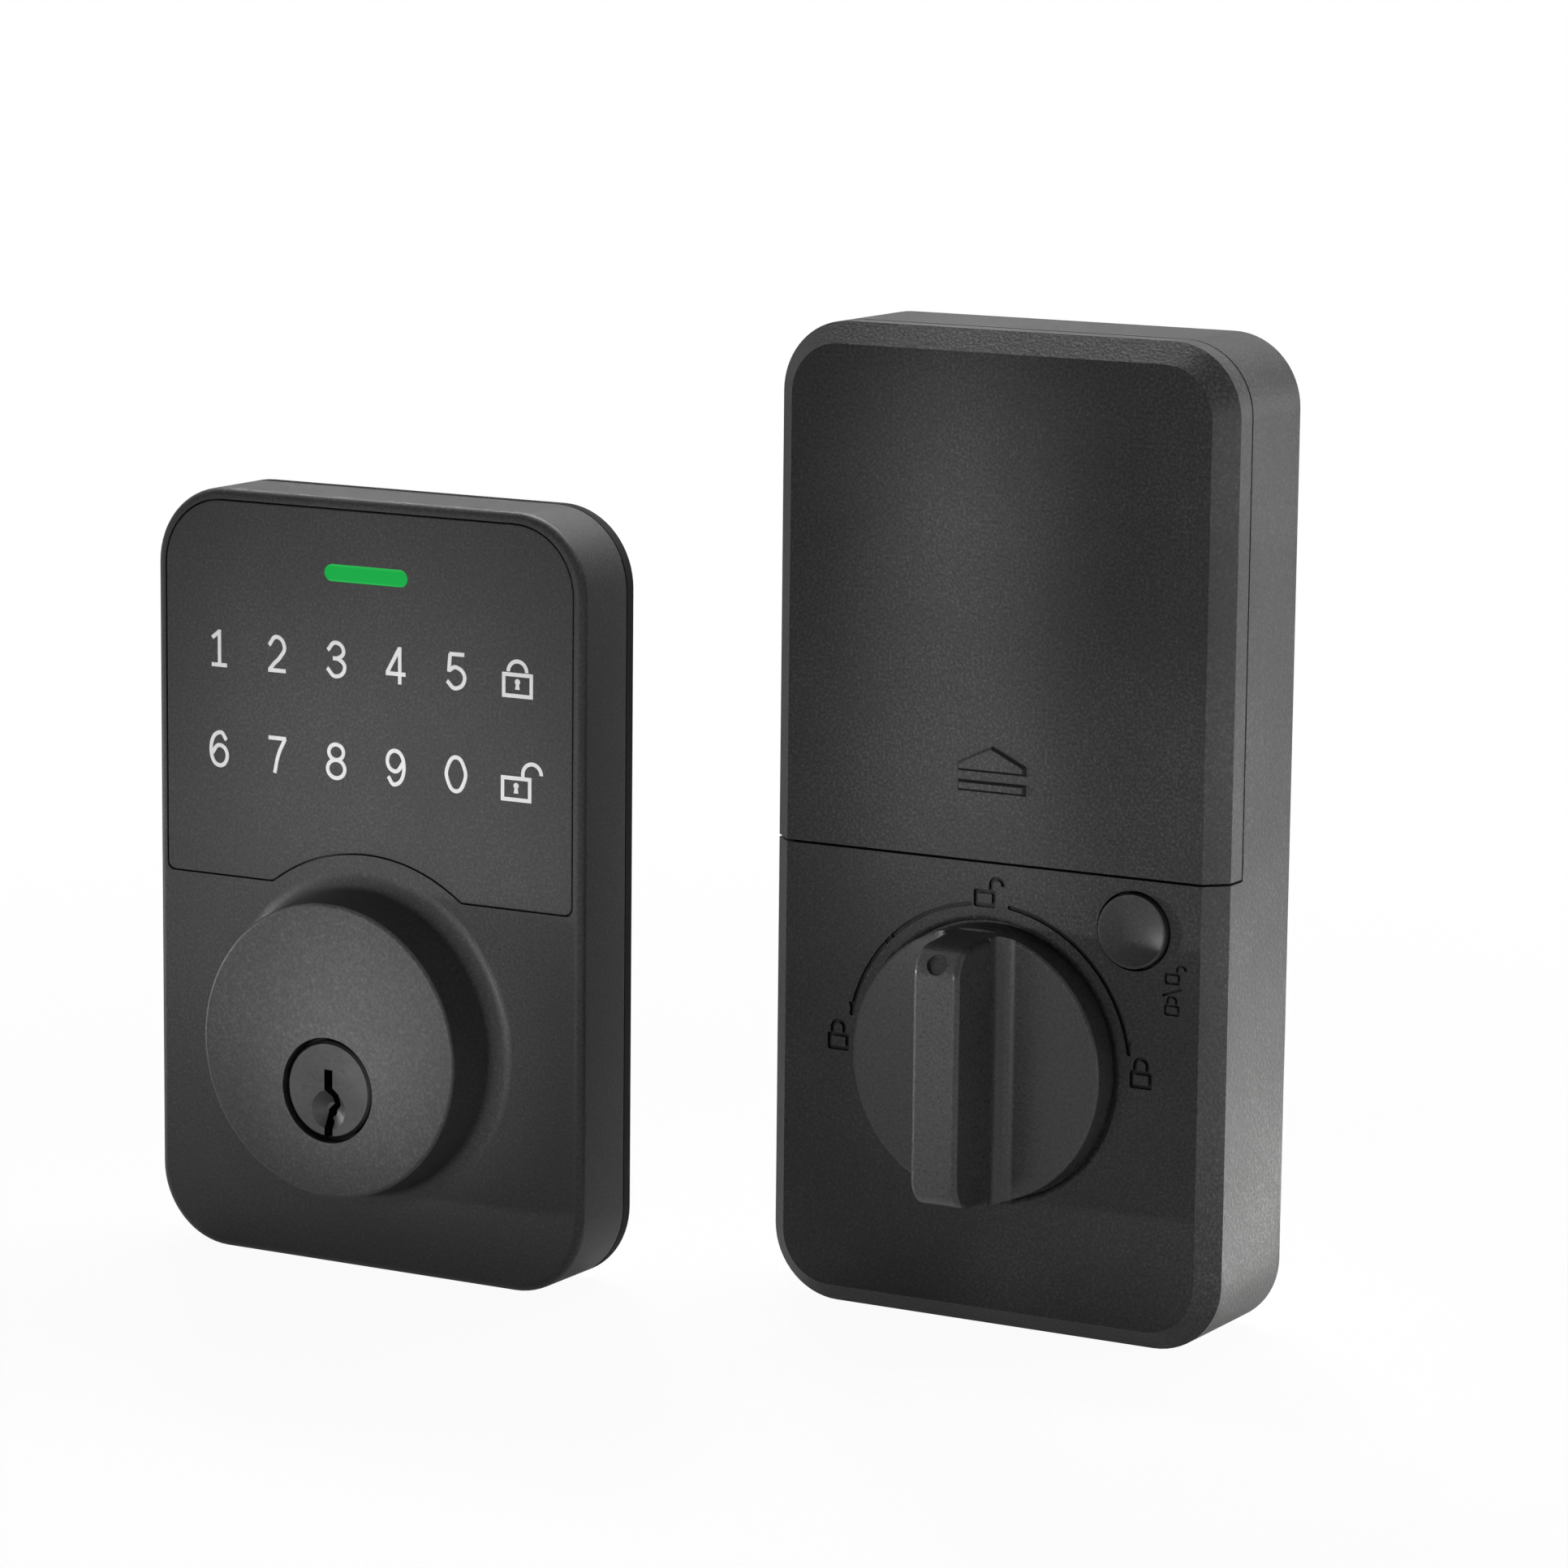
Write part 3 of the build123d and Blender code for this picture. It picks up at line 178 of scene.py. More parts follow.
NUMBERS, VECTORS = "ShaderNodeMath", "ShaderNodeVectorMath"


def reckon(tree, operation, *values, kind=NUMBERS, result="Value"):
    """One sum, such as MULTIPLY, of numbers or of vectors."""
    node = tree.nodes.new(kind)
    node.operation = operation
    for socket, value in zip(node.inputs, values):
        feed(tree, value, socket)
    return node.outputs[result]


def rescale(tree, value, old_range, new_range=(0, 1)):
    """Maps one range of numbers onto another and stops at its ends."""
    node = tree.nodes.new("ShaderNodeMapRange")
    ends = ("From Min", "From Max", "To Min", "To Max")
    for end, limit in zip(ends, (*old_range, *new_range)):
        node.inputs[end].default_value = limit
    tree.links.new(value, node.inputs["Value"])
    return node.outputs["Result"]


print("tools for numbers")

# %% [markdown]
# ## The studio
#
# A product shot on white has a seamless sweep under and behind the object. A large plane makes the
# floor. Its material glows white to the eye and half as strongly to mirror-like rays, yet stays an
# ordinary matt sheet for the light that bounces off it, so the lock is lit plainly. Near the lock
# the glow is a little weaker, which lets its soft shadow show.

# %% Paper of the sweep
MIRRORED_GLOW = 0.5


def seen_by_eye(tree):
    """1 for rays from the camera and through glass, less for mirror-like rays, otherwise 0."""
    path = tree.nodes.new("ShaderNodeLightPath").outputs
    seen = reckon(tree, "MULTIPLY_ADD", path["Is Glossy Ray"], MIRRORED_GLOW, path["Is Camera Ray"])
    return reckon(tree, "MAXIMUM", seen, path["Is Transmission Ray"])


sweep_paper, tree, shader, place = new_finish("sweep_paper")
paper_whites = two_tone((0.7, 0.7, 0.7), (0.74, 0.74, 0.74))
tint(tree, grain(tree, place, size=0.4), shader.inputs["Base Color"], paper_whites)
shader.inputs["Roughness"].default_value = 0.9
glow = tree.nodes.new("ShaderNodeEmission")
glow.inputs["Strength"].default_value = 1
from_lock = reckon(tree, "LENGTH", place, kind=VECTORS)
shadow_edge, glow_share = (0.15, 0.4), (0.95, 1)
near_to_far = rescale(tree, from_lock, shadow_edge, glow_share)
mix = tree.nodes.new("ShaderNodeMixShader")
tree.links.new(reckon(tree, "MULTIPLY", near_to_far, seen_by_eye(tree)), mix.inputs["Fac"])
tree.links.new(shader.outputs["BSDF"], mix.inputs[1])
tree.links.new(glow.outputs["Emission"], mix.inputs[2])
tree.links.new(mix.outputs["Shader"], tree.nodes["Material Output"].inputs["Surface"])
print("paper glows fully from", shadow_edge[1], "m on")

# %% Lay the floor
FLOOR_HALF = 9

sheet = bmesh.new()
bmesh.ops.create_grid(sheet, x_segments=1, y_segments=1, size=FLOOR_HALF)
floor_mesh = bpy.data.meshes.new("sweep_floor")
sheet.to_mesh(floor_mesh)
sheet.free()
floor_mesh.materials.append(sweep_paper)
floor = add_object("sweep_floor", floor_mesh)
print("floor", floor.dimensions.x, "m wide")

# %% [markdown]
# ## Light
#
# The photograph shows black boxes with pale tops, one pale right side, thin bright left rims and
# fronts that fade from the middle to the edges. A large softbox overhead and two at the right hang
# behind the pair, so tops and sides face them and the fronts and the collar's flank stay dark. The
# others have a grid, which is a narrow spread in Blender. Each leaves one soft pool: on the bevel
# over the battery cover, the top of the left unit, the left rims, the keypad, the collar, the
# cover, the thumbturn and the right bevel. Spot lamps make pools too, but a box is softer on gloss.

# %% Hang the softboxes
NO_GRID = 180


def softbox(name, spot, aim, size, watts, grid):
    """A rectangular lamp, turned to its aim and hidden from the camera."""
    lamp = bpy.data.lights.new(name, "AREA")
    lamp.shape = "RECTANGLE"
    lamp.size, lamp.size_y = size
    lamp.energy = watts
    lamp.spread = math.radians(grid)
    holder = add_object(name, lamp)
    holder.location = spot
    holder.rotation_euler = (Vector(aim) - Vector(spot)).to_track_quat("-Z", "Y").to_euler()
    holder.visible_camera = False


lamps = {  # spot, aim, size in metres, watts and the grid in degrees
    "top_box": ((0.0, 0.6, 1.0), (0, 0.02, 0.1), (1.2, 0.4), 12, NO_GRID),
    "bevel_grid_box": ((-0.1, 0.15, 0.9), (0.05, 0.005, 0.134), (0.06, 0.02), 0.0076, 8),
    "right_back_box": ((0.9, 0.75, 0.14), (0.078, 0, 0.06), (0.3, 0.24), 5.9, NO_GRID),
    "right_low_box": ((0.9, 0.75, 0.05), (0.078, 0, -0.02), (0.2, 0.06), 0.176, 10),
    "left_top_box": ((-0.5, 0.6, 0.9), (-0.043, -0.01, 0.105), (0.2, 0.2), 0.042, 8),
    "left_rim_box": ((-0.85, -0.3, 0.045), (0.0, -0.03, 0.046), (0.06, 0.06), 0.0085, 6),
    "keypad_grid_box": ((-0.1, -0.8, 0.065), (-0.041, 0, 0.068), (0.05, 0.07), 0.0077, 8),
    "collar_grid_box": ((-0.1, -0.8, 0.035), (-0.039, -0.044, 0.033), (0.01, 0.01), 0.00135, 3.4),
    "cover_grid_box": ((-0.05, -0.8, 0.085), (0.039, 0, 0.09), (0.01, 0.08), 0.00275, 3.4),
    "turn_grid_box": ((-0.05, -0.8, 0.035), (0.044, 0, 0.035), (0.01, 0.02), 0.00041, 4),
    "right_grid_box": ((0.78, -0.42, 0.07), (0.09, -0.004, 0.08), (0.02, 0.12), 0.0027, 3),
}
for lamp_name, set_up in lamps.items():
    softbox(lamp_name, *set_up)
print(len(lamps), "softboxes")

# %% [markdown]
# ## The room
#
# Dark gloss is shaded by the room that it mirrors. A room of one brightness would wash out the
# fronts, so this one is dim in front of the lock and bright behind it, and brighter for mirror-like
# rays than for soft light. To the camera it is plain white. A picture of a studio could do the
# same, but how far a ray heads to the back is all that is needed here.

# %% Light the room
def axes(tree, vector):
    """A vector's X, Y and Z."""
    split = tree.nodes.new("ShaderNodeSeparateXYZ")
    tree.links.new(vector, split.inputs["Vector"])
    return split.outputs


def blend(tree, share, first, second, kind="FLOAT"):
    """The first value where the share is 0 and the second where it is 1."""
    node = tree.nodes.new("ShaderNodeMix")
    node.data_type = kind
    for name, value in (("Factor", share), ("A", first), ("B", second)):
        feed(tree, value, node.inputs[name])
    return node.outputs["Result"]


WHITE_STRENGTH = 1

world = bpy.data.worlds.new("white_room")
world.use_nodes = True
bpy.context.scene.world = world
tree = world.node_tree
room = tree.nodes["Background"]
room.inputs["Color"].default_value = (1, 1, 1, 1)
backwards = axes(tree, tree.nodes.new("ShaderNodeTexCoord").outputs["Generated"])["Y"]
front_to_back = (-0.4, 0.5)
soft_light = rescale(tree, backwards, front_to_back, (0.03, 0.3))
mirrored_light = rescale(tree, backwards, front_to_back, (0.3, 1))
path = tree.nodes.new("ShaderNodeLightPath").outputs
room_light = blend(tree, path["Is Glossy Ray"], soft_light, mirrored_light)
in_sight = reckon(tree, "MAXIMUM", path["Is Camera Ray"], path["Is Transmission Ray"])
tree.links.new(blend(tree, in_sight, room_light, WHITE_STRENGTH), room.inputs["Strength"])
bpy.context.scene.view_settings.view_transform = "Standard"
print("room white to the camera at strength", WHITE_STRENGTH)

# %% [markdown]
# ## Painted and moulded black
#
# Nearly everything that shows is black, so the finishes differ by grain and sheen, not by colour.
# The outside casting has a satin paint, its keypad panel a smoother one, and the thumbturn a clear
# coat over its paint. An image of such grain would repeat, so one routine makes them all from two
# noises, broad clouds and fine pores that speck the colour, roughen it and raise bumps. The palest
# specks are painted glints, standing in for the sparkle of grazing light. At a slant the grains
# shade each other, so a Layer Weight node lowers the reflections there.

# %% Roughness and bumps
def spread(tree, pattern, socket, low, high):
    """Maps the middle of a pattern onto a range of numbers, such as a roughness."""
    tree.links.new(rescale(tree, pattern, NOISE_RANGE, (low, high)), socket)


def relief(tree, pattern, socket, depth, strength):
    """Raises a pattern as fine bumps of a depth in metres."""
    bump = tree.nodes.new("ShaderNodeBump")
    bump.inputs["Distance"].default_value = depth
    bump.inputs["Strength"].default_value = strength
    tree.links.new(pattern, bump.inputs["Height"])
    tree.links.new(bump.outputs["Normal"], socket)


print("tools for roughness and bumps")

# %% Black finishes
PORE_SHARE = 0.7
SHEEN_SWING = 0.06
SLANT, SLANT_GLOSS = (0.4, 0.85), (0.3, 0.04)


def black_finish(name, tone, sheen, speck_and_glint, depth, strength):
    """A black tone specked with grain and painted glints; pores of a depth in mm roughen it."""
    material, tree, shader, place = new_finish(name)
    clouds = grain(tree, place, size=30 * MM, detail=3)
    pores = grain(tree, place, size=0.4 * MM, detail=3)
    # The low stops are random grain; the top stop, a few times the tone, paints sparse glints.
    shades = ((0.36, 1 - speck_and_glint), (0.54, 1.05), (0.66, 1 + 2 * speck_and_glint))
    greys = [(spot, (shade * tone,) * 3) for spot, shade in shades]
    tint(tree, blend(tree, PORE_SHARE, clouds, pores), shader.inputs["Base Color"], greys)
    spread(tree, pores, shader.inputs["Roughness"], sheen - SHEEN_SWING, sheen + SHEEN_SWING)
    relief(tree, pores, shader.inputs["Normal"], depth * MM, strength)
    facing = tree.nodes.new("ShaderNodeLayerWeight").outputs["Facing"]
    gloss = rescale(tree, facing, SLANT, SLANT_GLOSS)
    tree.links.new(gloss, shader.inputs["Specular IOR Level"])
    return material


# The fourth column sets the random specks and also the painted glints, the palest of them.
black_looks = {  # name, tone, sheen, speck, depth and strength of the bumps
    "black_casting": ("satin_black_paint", 0.062, 0.46, 0.25, 0.06, 0.6),
    "panel_plastic": ("keypad_black", 0.062, 0.46, 0.25, 0.05, 0.5),
    "turn_metal": ("turn_black_paint", 0.068, 0.32, 0.3, 0.06, 0.6),
    "button_plastic": ("button_black", 0.07, 0.5, 0.2, 0.03, 0.4),
    "rubber": ("gasket_rubber", 0.02, 0.8, 0.3, 0.06, 0.5),
    "chip_plastic": ("chip_black", 0.014, 0.6, 0.2, 0.03, 0.4),
}
finishes = {slot: black_finish(*look) for slot, look in black_looks.items()}
turn_shader = finishes["turn_metal"].node_tree.nodes["Principled BSDF"]
turn_shader.inputs["Coat Weight"].default_value = 0.25
turn_shader.inputs["Coat Roughness"].default_value = 0.2
print("black finishes:", ", ".join(sorted(finishes)))

# %% [markdown]
# ## Engraved and raised signs
#
# The inside box is moulded with a spark-eroded texture, whose glitter is painted in as sparse
# bright specks. The arcs and padlocks round its thumbturn are engraved, and their floors are
# coloured a dull black: painted shade for the shade that falls in the narrow grooves. The arrow on
# the battery cover stands up instead, and its walls that turn away from the light on the left are
# coloured black: a painted shadow. Thin pieces could be laid into the signs, but painted shade that
# comes from how deep a point lies follows the solids exactly. The small sign below the button is
# so faint that it stays plain.

# %% Masks
def between(tree, value, low, high):
    """1 where a value lies between two limits, otherwise 0."""
    return reckon(tree, "COMPARE", value, (low + high) / 2, (high - low) / 2)


def all_of(tree, masks):
    """The product of some masks."""
    product, *others = masks
    for mask in others:
        product = reckon(tree, "MULTIPLY", product, mask)
    return product


def overlay(tree, share, colour):
    """Lays a colour over a shader's own one where the share is 1."""
    base = tree.nodes["Principled BSDF"].inputs["Base Color"]
    own_colour = base.links[0].from_socket
    tree.links.new(blend(tree, share, own_colour, (*colour, 1), "RGBA"), base)


print("tools for masks")

# %% Engraved signs
SPARK_TEXTURE = {"tone": 0.05, "sheen": 0.46, "speck_and_glint": 0.5, "depth": 0.1, "strength": 0.8}
# Near black for the painted shade in the grooves and the painted shadow on the arrow's walls.
PAINTED_SHADE_BLACK = (0.006, 0.006, 0.006)
ENGRAVED_DEPTH = (0.12 * MM, 0.7 * MM)
SIGN_RADII = (20.3 * MM, 40 * MM)
SIGN_REACH = 25.95 * MM  # the small sign below the button lies past it
BOTTOM_EDGE, COVER_EDGE = 6 * MM, 0.6 * MM

turn_low, turn_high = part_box("thumbturn")
turn_middle = (turn_low + turn_high) / 2
turn_axis = (turn_middle.x, 0, turn_middle.z)
housing_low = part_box("inside_housing")[0]
cover_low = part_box("battery_cover")[0]

engraved_black = black_finish("engraved_black", **SPARK_TEXTURE)
tree = engraved_black.node_tree
place = tree.nodes["Texture Coordinate"].outputs["Object"]
spot = axes(tree, place)
no_depth = reckon(tree, "MULTIPLY", place, (1, 0, 1), kind=VECTORS, result="Vector")
from_axis = reckon(tree, "DISTANCE", no_depth, turn_axis, kind=VECTORS)
# Painted shade: the floors of the engraved grooves are coloured near black, where shade falls.
groove_painted_shade = all_of(tree, [
    between(tree, spot["Y"], *(housing_low.y + depth for depth in ENGRAVED_DEPTH)),
    between(tree, spot["X"], turn_middle.x - SIGN_REACH, turn_middle.x + SIGN_REACH),
    between(tree, spot["Z"], housing_low.z + BOTTOM_EDGE, cover_low.z - COVER_EDGE),
    between(tree, from_axis, *SIGN_RADII),
])
overlay(tree, groove_painted_shade, PAINTED_SHADE_BLACK)
print("signs shaded round the axis at", [round(v / MM, 1) for v in turn_axis], "mm")

# %% Raised arrow
ARROW_DEPTH = (0.02 * MM, 0.47 * MM)
AWAY_FROM_LEFT_LIGHT = (-0.25, 1)

arrow_black = black_finish("arrow_black", **SPARK_TEXTURE)
tree = arrow_black.node_tree
coordinates = tree.nodes["Texture Coordinate"].outputs
depth_in = axes(tree, coordinates["Object"])["Y"]
lean = axes(tree, coordinates["Normal"])["X"]
# Painted shadow: the arrow's walls that turn away from the light on the left are coloured near
# black.
arrow_painted_shadow = all_of(tree, [
    between(tree, depth_in, *(cover_low.y + depth for depth in ARROW_DEPTH)),
    between(tree, lean, *AWAY_FROM_LEFT_LIGHT),
])
overlay(tree, arrow_painted_shadow, PAINTED_SHADE_BLACK)
print("arrow shaded behind", round(cover_low.y / MM, 2), "mm")

# %% [markdown]
# ## Metals
#
# The cylinder and its pins are brass, the plates, screws and tailpiece zinc plated steel, the
# battery contacts nickel, and the key plug is plated black. A metal lives from uneven gloss, so
# noise drawn out along one axis by a Mapping node makes rolling or turning marks in the roughness
# and in very shallow bumps.

# %% Metal finishes
METAL_SWING = 0.07
BRASS_TONES = ((0.68, 0.46, 0.17), (0.76, 0.55, 0.24))
TURNED = (1, 0.15, 1)


def metal_finish(name, dark, light, sheen, stretch):
    """A bare metal with marks drawn out along the axes where stretch is small."""
    material, tree, shader, place = new_finish(name)
    shader.inputs["Metallic"].default_value = 1
    drawn = tree.nodes.new("ShaderNodeMapping")
    drawn.inputs["Scale"].default_value = stretch
    tree.links.new(place, drawn.inputs["Vector"])
    marks = grain(tree, drawn.outputs["Vector"], size=0.6 * MM, detail=3)
    stains = grain(tree, place, size=8 * MM, detail=3)
    tint(tree, stains, shader.inputs["Base Color"], two_tone(dark, light))
    spread(tree, marks, shader.inputs["Roughness"], sheen - METAL_SWING, sheen + METAL_SWING)
    relief(tree, marks, shader.inputs["Normal"], depth=0.01 * MM, strength=0.3)
    return material


metals = {
    "brass": metal_finish("turned_brass", *BRASS_TONES, sheen=0.3, stretch=TURNED),
    "plug_metal": metal_finish("plug_black_plate", (0.055, 0.055, 0.055), (0.08, 0.08, 0.08),
                               sheen=0.42, stretch=(1, 1, 1)),
    "steel": metal_finish("zinc_plate", (0.22, 0.22, 0.225), (0.3, 0.3, 0.31),
                          sheen=0.52, stretch=(1, 1, 0.1)),
    "contact_metal": metal_finish("nickel_plate", (0.62, 0.6, 0.57), (0.7, 0.69, 0.65),
                                  sheen=0.25, stretch=(0.1, 1, 1)),
}
finishes.update(metals)
print("metals:", ", ".join(metals))

# %% [markdown]
# The front of the brass cylinder shows in the ring round the key plug, where the real one is plated
# black like the plug. A ring could be laid over it, but the plating just ends a little way in, so
# the colour changes with the depth.

# %% Plated cylinder nose
PLATE_BLACK = (0.02, 0.02, 0.02)

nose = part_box("cylinder_body")[0].y
bare_to_plated = (nose + 2.4 * MM, nose + 2.0 * MM)
plated_brass = metal_finish("plated_brass", *BRASS_TONES, sheen=0.35, stretch=TURNED)
tree = plated_brass.node_tree
depth_in = axes(tree, tree.nodes["Texture Coordinate"].outputs["Object"])["Y"]
overlay(tree, rescale(tree, depth_in, bare_to_plated), PLATE_BLACK)
print("cylinder nose plated from", round(nose / MM, 2), "mm")

# %% [markdown]
# ## Small plastics
#
# Gears are natural acetal, sockets ivory, the circuit boards green laminate with paler copper
# tracks under the mask. The tracks are a brick pattern with wide bricks, whose mortar lines read
# as copper, because nobody follows a single track but everybody sees when a board is blank.

# %% Pale plastics
def pale_finish(name, dark, light, sheen):
    """A pale moulding with faint flow marks."""
    material, tree, shader, place = new_finish(name)
    flow = grain(tree, place, size=6 * MM, detail=4)
    skin = grain(tree, place, size=0.7 * MM)
    tint(tree, flow, shader.inputs["Base Color"], two_tone(dark, light))
    spread(tree, flow, shader.inputs["Roughness"], sheen - SHEEN_SWING, sheen + SHEEN_SWING)
    relief(tree, skin, shader.inputs["Normal"], depth=0.01 * MM, strength=0.3)
    return material


pale_plastics = {
    "gear_plastic": pale_finish("natural_acetal", (0.7, 0.68, 0.62), (0.8, 0.79, 0.74),
                                sheen=0.4),
    "socket_plastic": pale_finish("ivory_moulding", (0.68, 0.64, 0.54), (0.76, 0.73, 0.64),
                                  sheen=0.35),
}
finishes.update(pale_plastics)
print("pale plastics:", ", ".join(pale_plastics))

# %% Circuit boards
QUARTER_TURN = math.radians(90)

track_looks = {
    "Scale": 160,
    "Mortar Size": 0.04,
    "Color1": (0.012, 0.11, 0.045, 1),
    "Color2": (0.016, 0.14, 0.055, 1),
    "Mortar": (0.05, 0.28, 0.11, 1),
}
laminate, tree, shader, place = new_finish("green_laminate")
upright_board = tree.nodes.new("ShaderNodeMapping")
upright_board.inputs["Rotation"].default_value = (QUARTER_TURN, 0, 0)
tree.links.new(place, upright_board.inputs["Vector"])
tracks = tree.nodes.new("ShaderNodeTexBrick")
for look, value in track_looks.items():
    tracks.inputs[look].default_value = value
tree.links.new(upright_board.outputs["Vector"], tracks.inputs["Vector"])
tree.links.new(tracks.outputs["Color"], shader.inputs["Base Color"])
varnish = grain(tree, place, size=3 * MM)
spread(tree, varnish, shader.inputs["Roughness"], low=0.25, high=0.4)
relief(tree, tracks.outputs["Fac"], shader.inputs["Normal"], depth=0.04 * MM, strength=0.5)
finishes["board_laminate"] = laminate
track_pitch = tracks.inputs["Row Height"].default_value / track_looks["Scale"]
print("board tracks", round(track_pitch / MM, 2), "mm apart")

# %% [markdown]
# ## The status light
#
# The small green bar is a light pipe that glows evenly, a little paler along its rim where the
# plastic gathers the light. Emission could come from a lamp behind it, but the pipe itself glowing
# is steadier. The rim comes from how far a point lies from the middle line of the bar, and a noise
# makes its gloss uneven.

# %% Light window
WINDOW_RIM = (0.8 * MM, 1.18 * MM)

window_low, window_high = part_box("led_window")
window_middle = (window_low + window_high) / 2
lit_green, tree, shader, place = new_finish("lit_green_window")
from_line = reckon(tree, "SUBTRACT", axes(tree, place)["Z"], window_middle.z)
rim = rescale(tree, reckon(tree, "ABSOLUTE", from_line), WINDOW_RIM)
plastic_greens = [(0.0, (0.004, 0.11, 0.022)), (1.0, (0.01, 0.15, 0.035))]
glowing_greens = [(0.0, (0.006, 0.36, 0.052)), (1.0, (0.025, 0.42, 0.08))]
tint(tree, rim, shader.inputs["Base Color"], plastic_greens)
tint(tree, rim, shader.inputs["Emission Color"], glowing_greens)
shader.inputs["Emission Strength"].default_value = 0.9
shader.inputs["Specular IOR Level"].default_value = 0.1
spread(tree, grain(tree, place, size=2 * MM), shader.inputs["Roughness"], low=0.3, high=0.4)
finishes["light_window"] = lit_green
print("light window at", [round(v / MM, 1) for v in window_middle], "mm")

# %% [markdown]
# ## Battery cells
#
# Four cells lie under the cover, alternate ones upside down. A cell has a printed sleeve, dark
# with a copper band at its plus end, and bare metal ends. A label could be an image, but here the
# band is set by height and the ends by which way the surface faces, so one routine serves both
# ways up.

# %% Cell sleeves
SLEEVE_BANDS = [
    (0.0, (0.02, 0.02, 0.022)),
    (0.7, (0.024, 0.024, 0.026)),
    (0.705, (0.5, 0.21, 0.07)),
    (1.0, (0.56, 0.25, 0.09)),
]
CAN_NICKEL = (0.62, 0.61, 0.58)
ENDWISE = 0.6


def sleeve_finish(name, minus_end, plus_end):
    """A shrink sleeve between two heights, with a copper band at its plus end and nickel ends."""
    material, tree, shader, place = new_finish(name)
    along = rescale(tree, axes(tree, place)["Z"], (minus_end, plus_end))
    tint(tree, along, shader.inputs["Base Color"], SLEEVE_BANDS)
    facing = axes(tree, tree.nodes.new("ShaderNodeNewGeometry").outputs["Normal"])["Z"]
    ends = reckon(tree, "GREATER_THAN", reckon(tree, "ABSOLUTE", facing), ENDWISE)
    overlay(tree, ends, CAN_NICKEL)
    tree.links.new(ends, shader.inputs["Metallic"])
    scuffs = grain(tree, place, size=2 * MM, detail=3)
    spread(tree, scuffs, shader.inputs["Roughness"], low=0.25, high=0.36)
    return material


cell_low, cell_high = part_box("battery_cell_1")
upright_cell = sleeve_finish("sleeve_plus_up", cell_low.z, cell_high.z)
turned_cell = sleeve_finish("sleeve_plus_down", cell_high.z, cell_low.z)
print("cells", round((cell_high.z - cell_low.z) / MM, 1), "mm long")

# %% [markdown]
# ## Dressing the solids
#
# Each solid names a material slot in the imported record. Solids can be dressed by hand, but looping
# over the record's slots dresses every one and leaves none bare. Only the cylinder, the housing,
# the cover and the cells have finishes of their own and are told apart by name.

# %% Give every solid its finish
own_finish = {
    "cylinder_body": plated_brass,
    "inside_housing": engraved_black,
    "battery_cover": arrow_black,
    "battery_cell_1": upright_cell,
    "battery_cell_2": turned_cell,
    "battery_cell_3": upright_cell,
    "battery_cell_4": turned_cell,
}
subparts = frame["record"]["subparts"]
for part in subparts:
    name = part["node"]
    finish = own_finish[name] if name in own_finish else finishes[part["material_slot"]]
    materials = frame["nodes"][name].data.materials
    materials.clear()
    materials.append(finish)
print("dressed", len(subparts), "of", len(frame["nodes"]), "solids")

# %% [markdown]
# ## Keypad print
#
# Ten digits and two padlocks are printed in pale ink on the panel, six to a row. The ink also
# glows a little, a painted glow that makes it paler than the lamps alone would. It is a thin layer
# of its own, so its edges stay sharp from any side. Type could come from a font, but the
# photograph's figures are drawn with one even pen line, so each digit is a curve through a few
# points. A round bevel gives the line its width, and pressing it flat leaves a low ridge of ink.

# %% Ink
ink, tree, shader, place = new_finish("pale_ink")
# Painted glow: a faint white emission brightens the print beyond what the lamps give it.
shader.inputs["Emission Color"].default_value = (1, 1, 1, 1)
shader.inputs["Emission Strength"].default_value = 0.16
speckle = grain(tree, place, size=0.6 * MM, detail=3)
ink_whites = two_tone((0.78, 0.78, 0.77), (0.88, 0.88, 0.87))
tint(tree, speckle, shader.inputs["Base Color"], ink_whites)
spread(tree, speckle, shader.inputs["Roughness"], low=0.5, high=0.6)
relief(tree, speckle, shader.inputs["Normal"], depth=0.01 * MM, strength=0.2)


def lay_ink(name, mesh):
    """Makes a print of a mesh that already lies on the panel, and lets it ride on the case."""
    mesh.materials.clear()
    mesh.materials.append(ink)
    print_piece = add_object(name, mesh)
    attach(print_piece, "lock_case")


print("ink glows at", round(shader.inputs["Emission Strength"].default_value, 2))

# %% Pen strokes
def straight(*points):
    """A stroke with sharp corners."""
    return "VECTOR", False, points


def curve(*points):
    """A stroke that bends through its points."""
    return "AUTO", False, points


def ring(*points):
    """A closed stroke that bends through its points."""
    return "AUTO", True, points


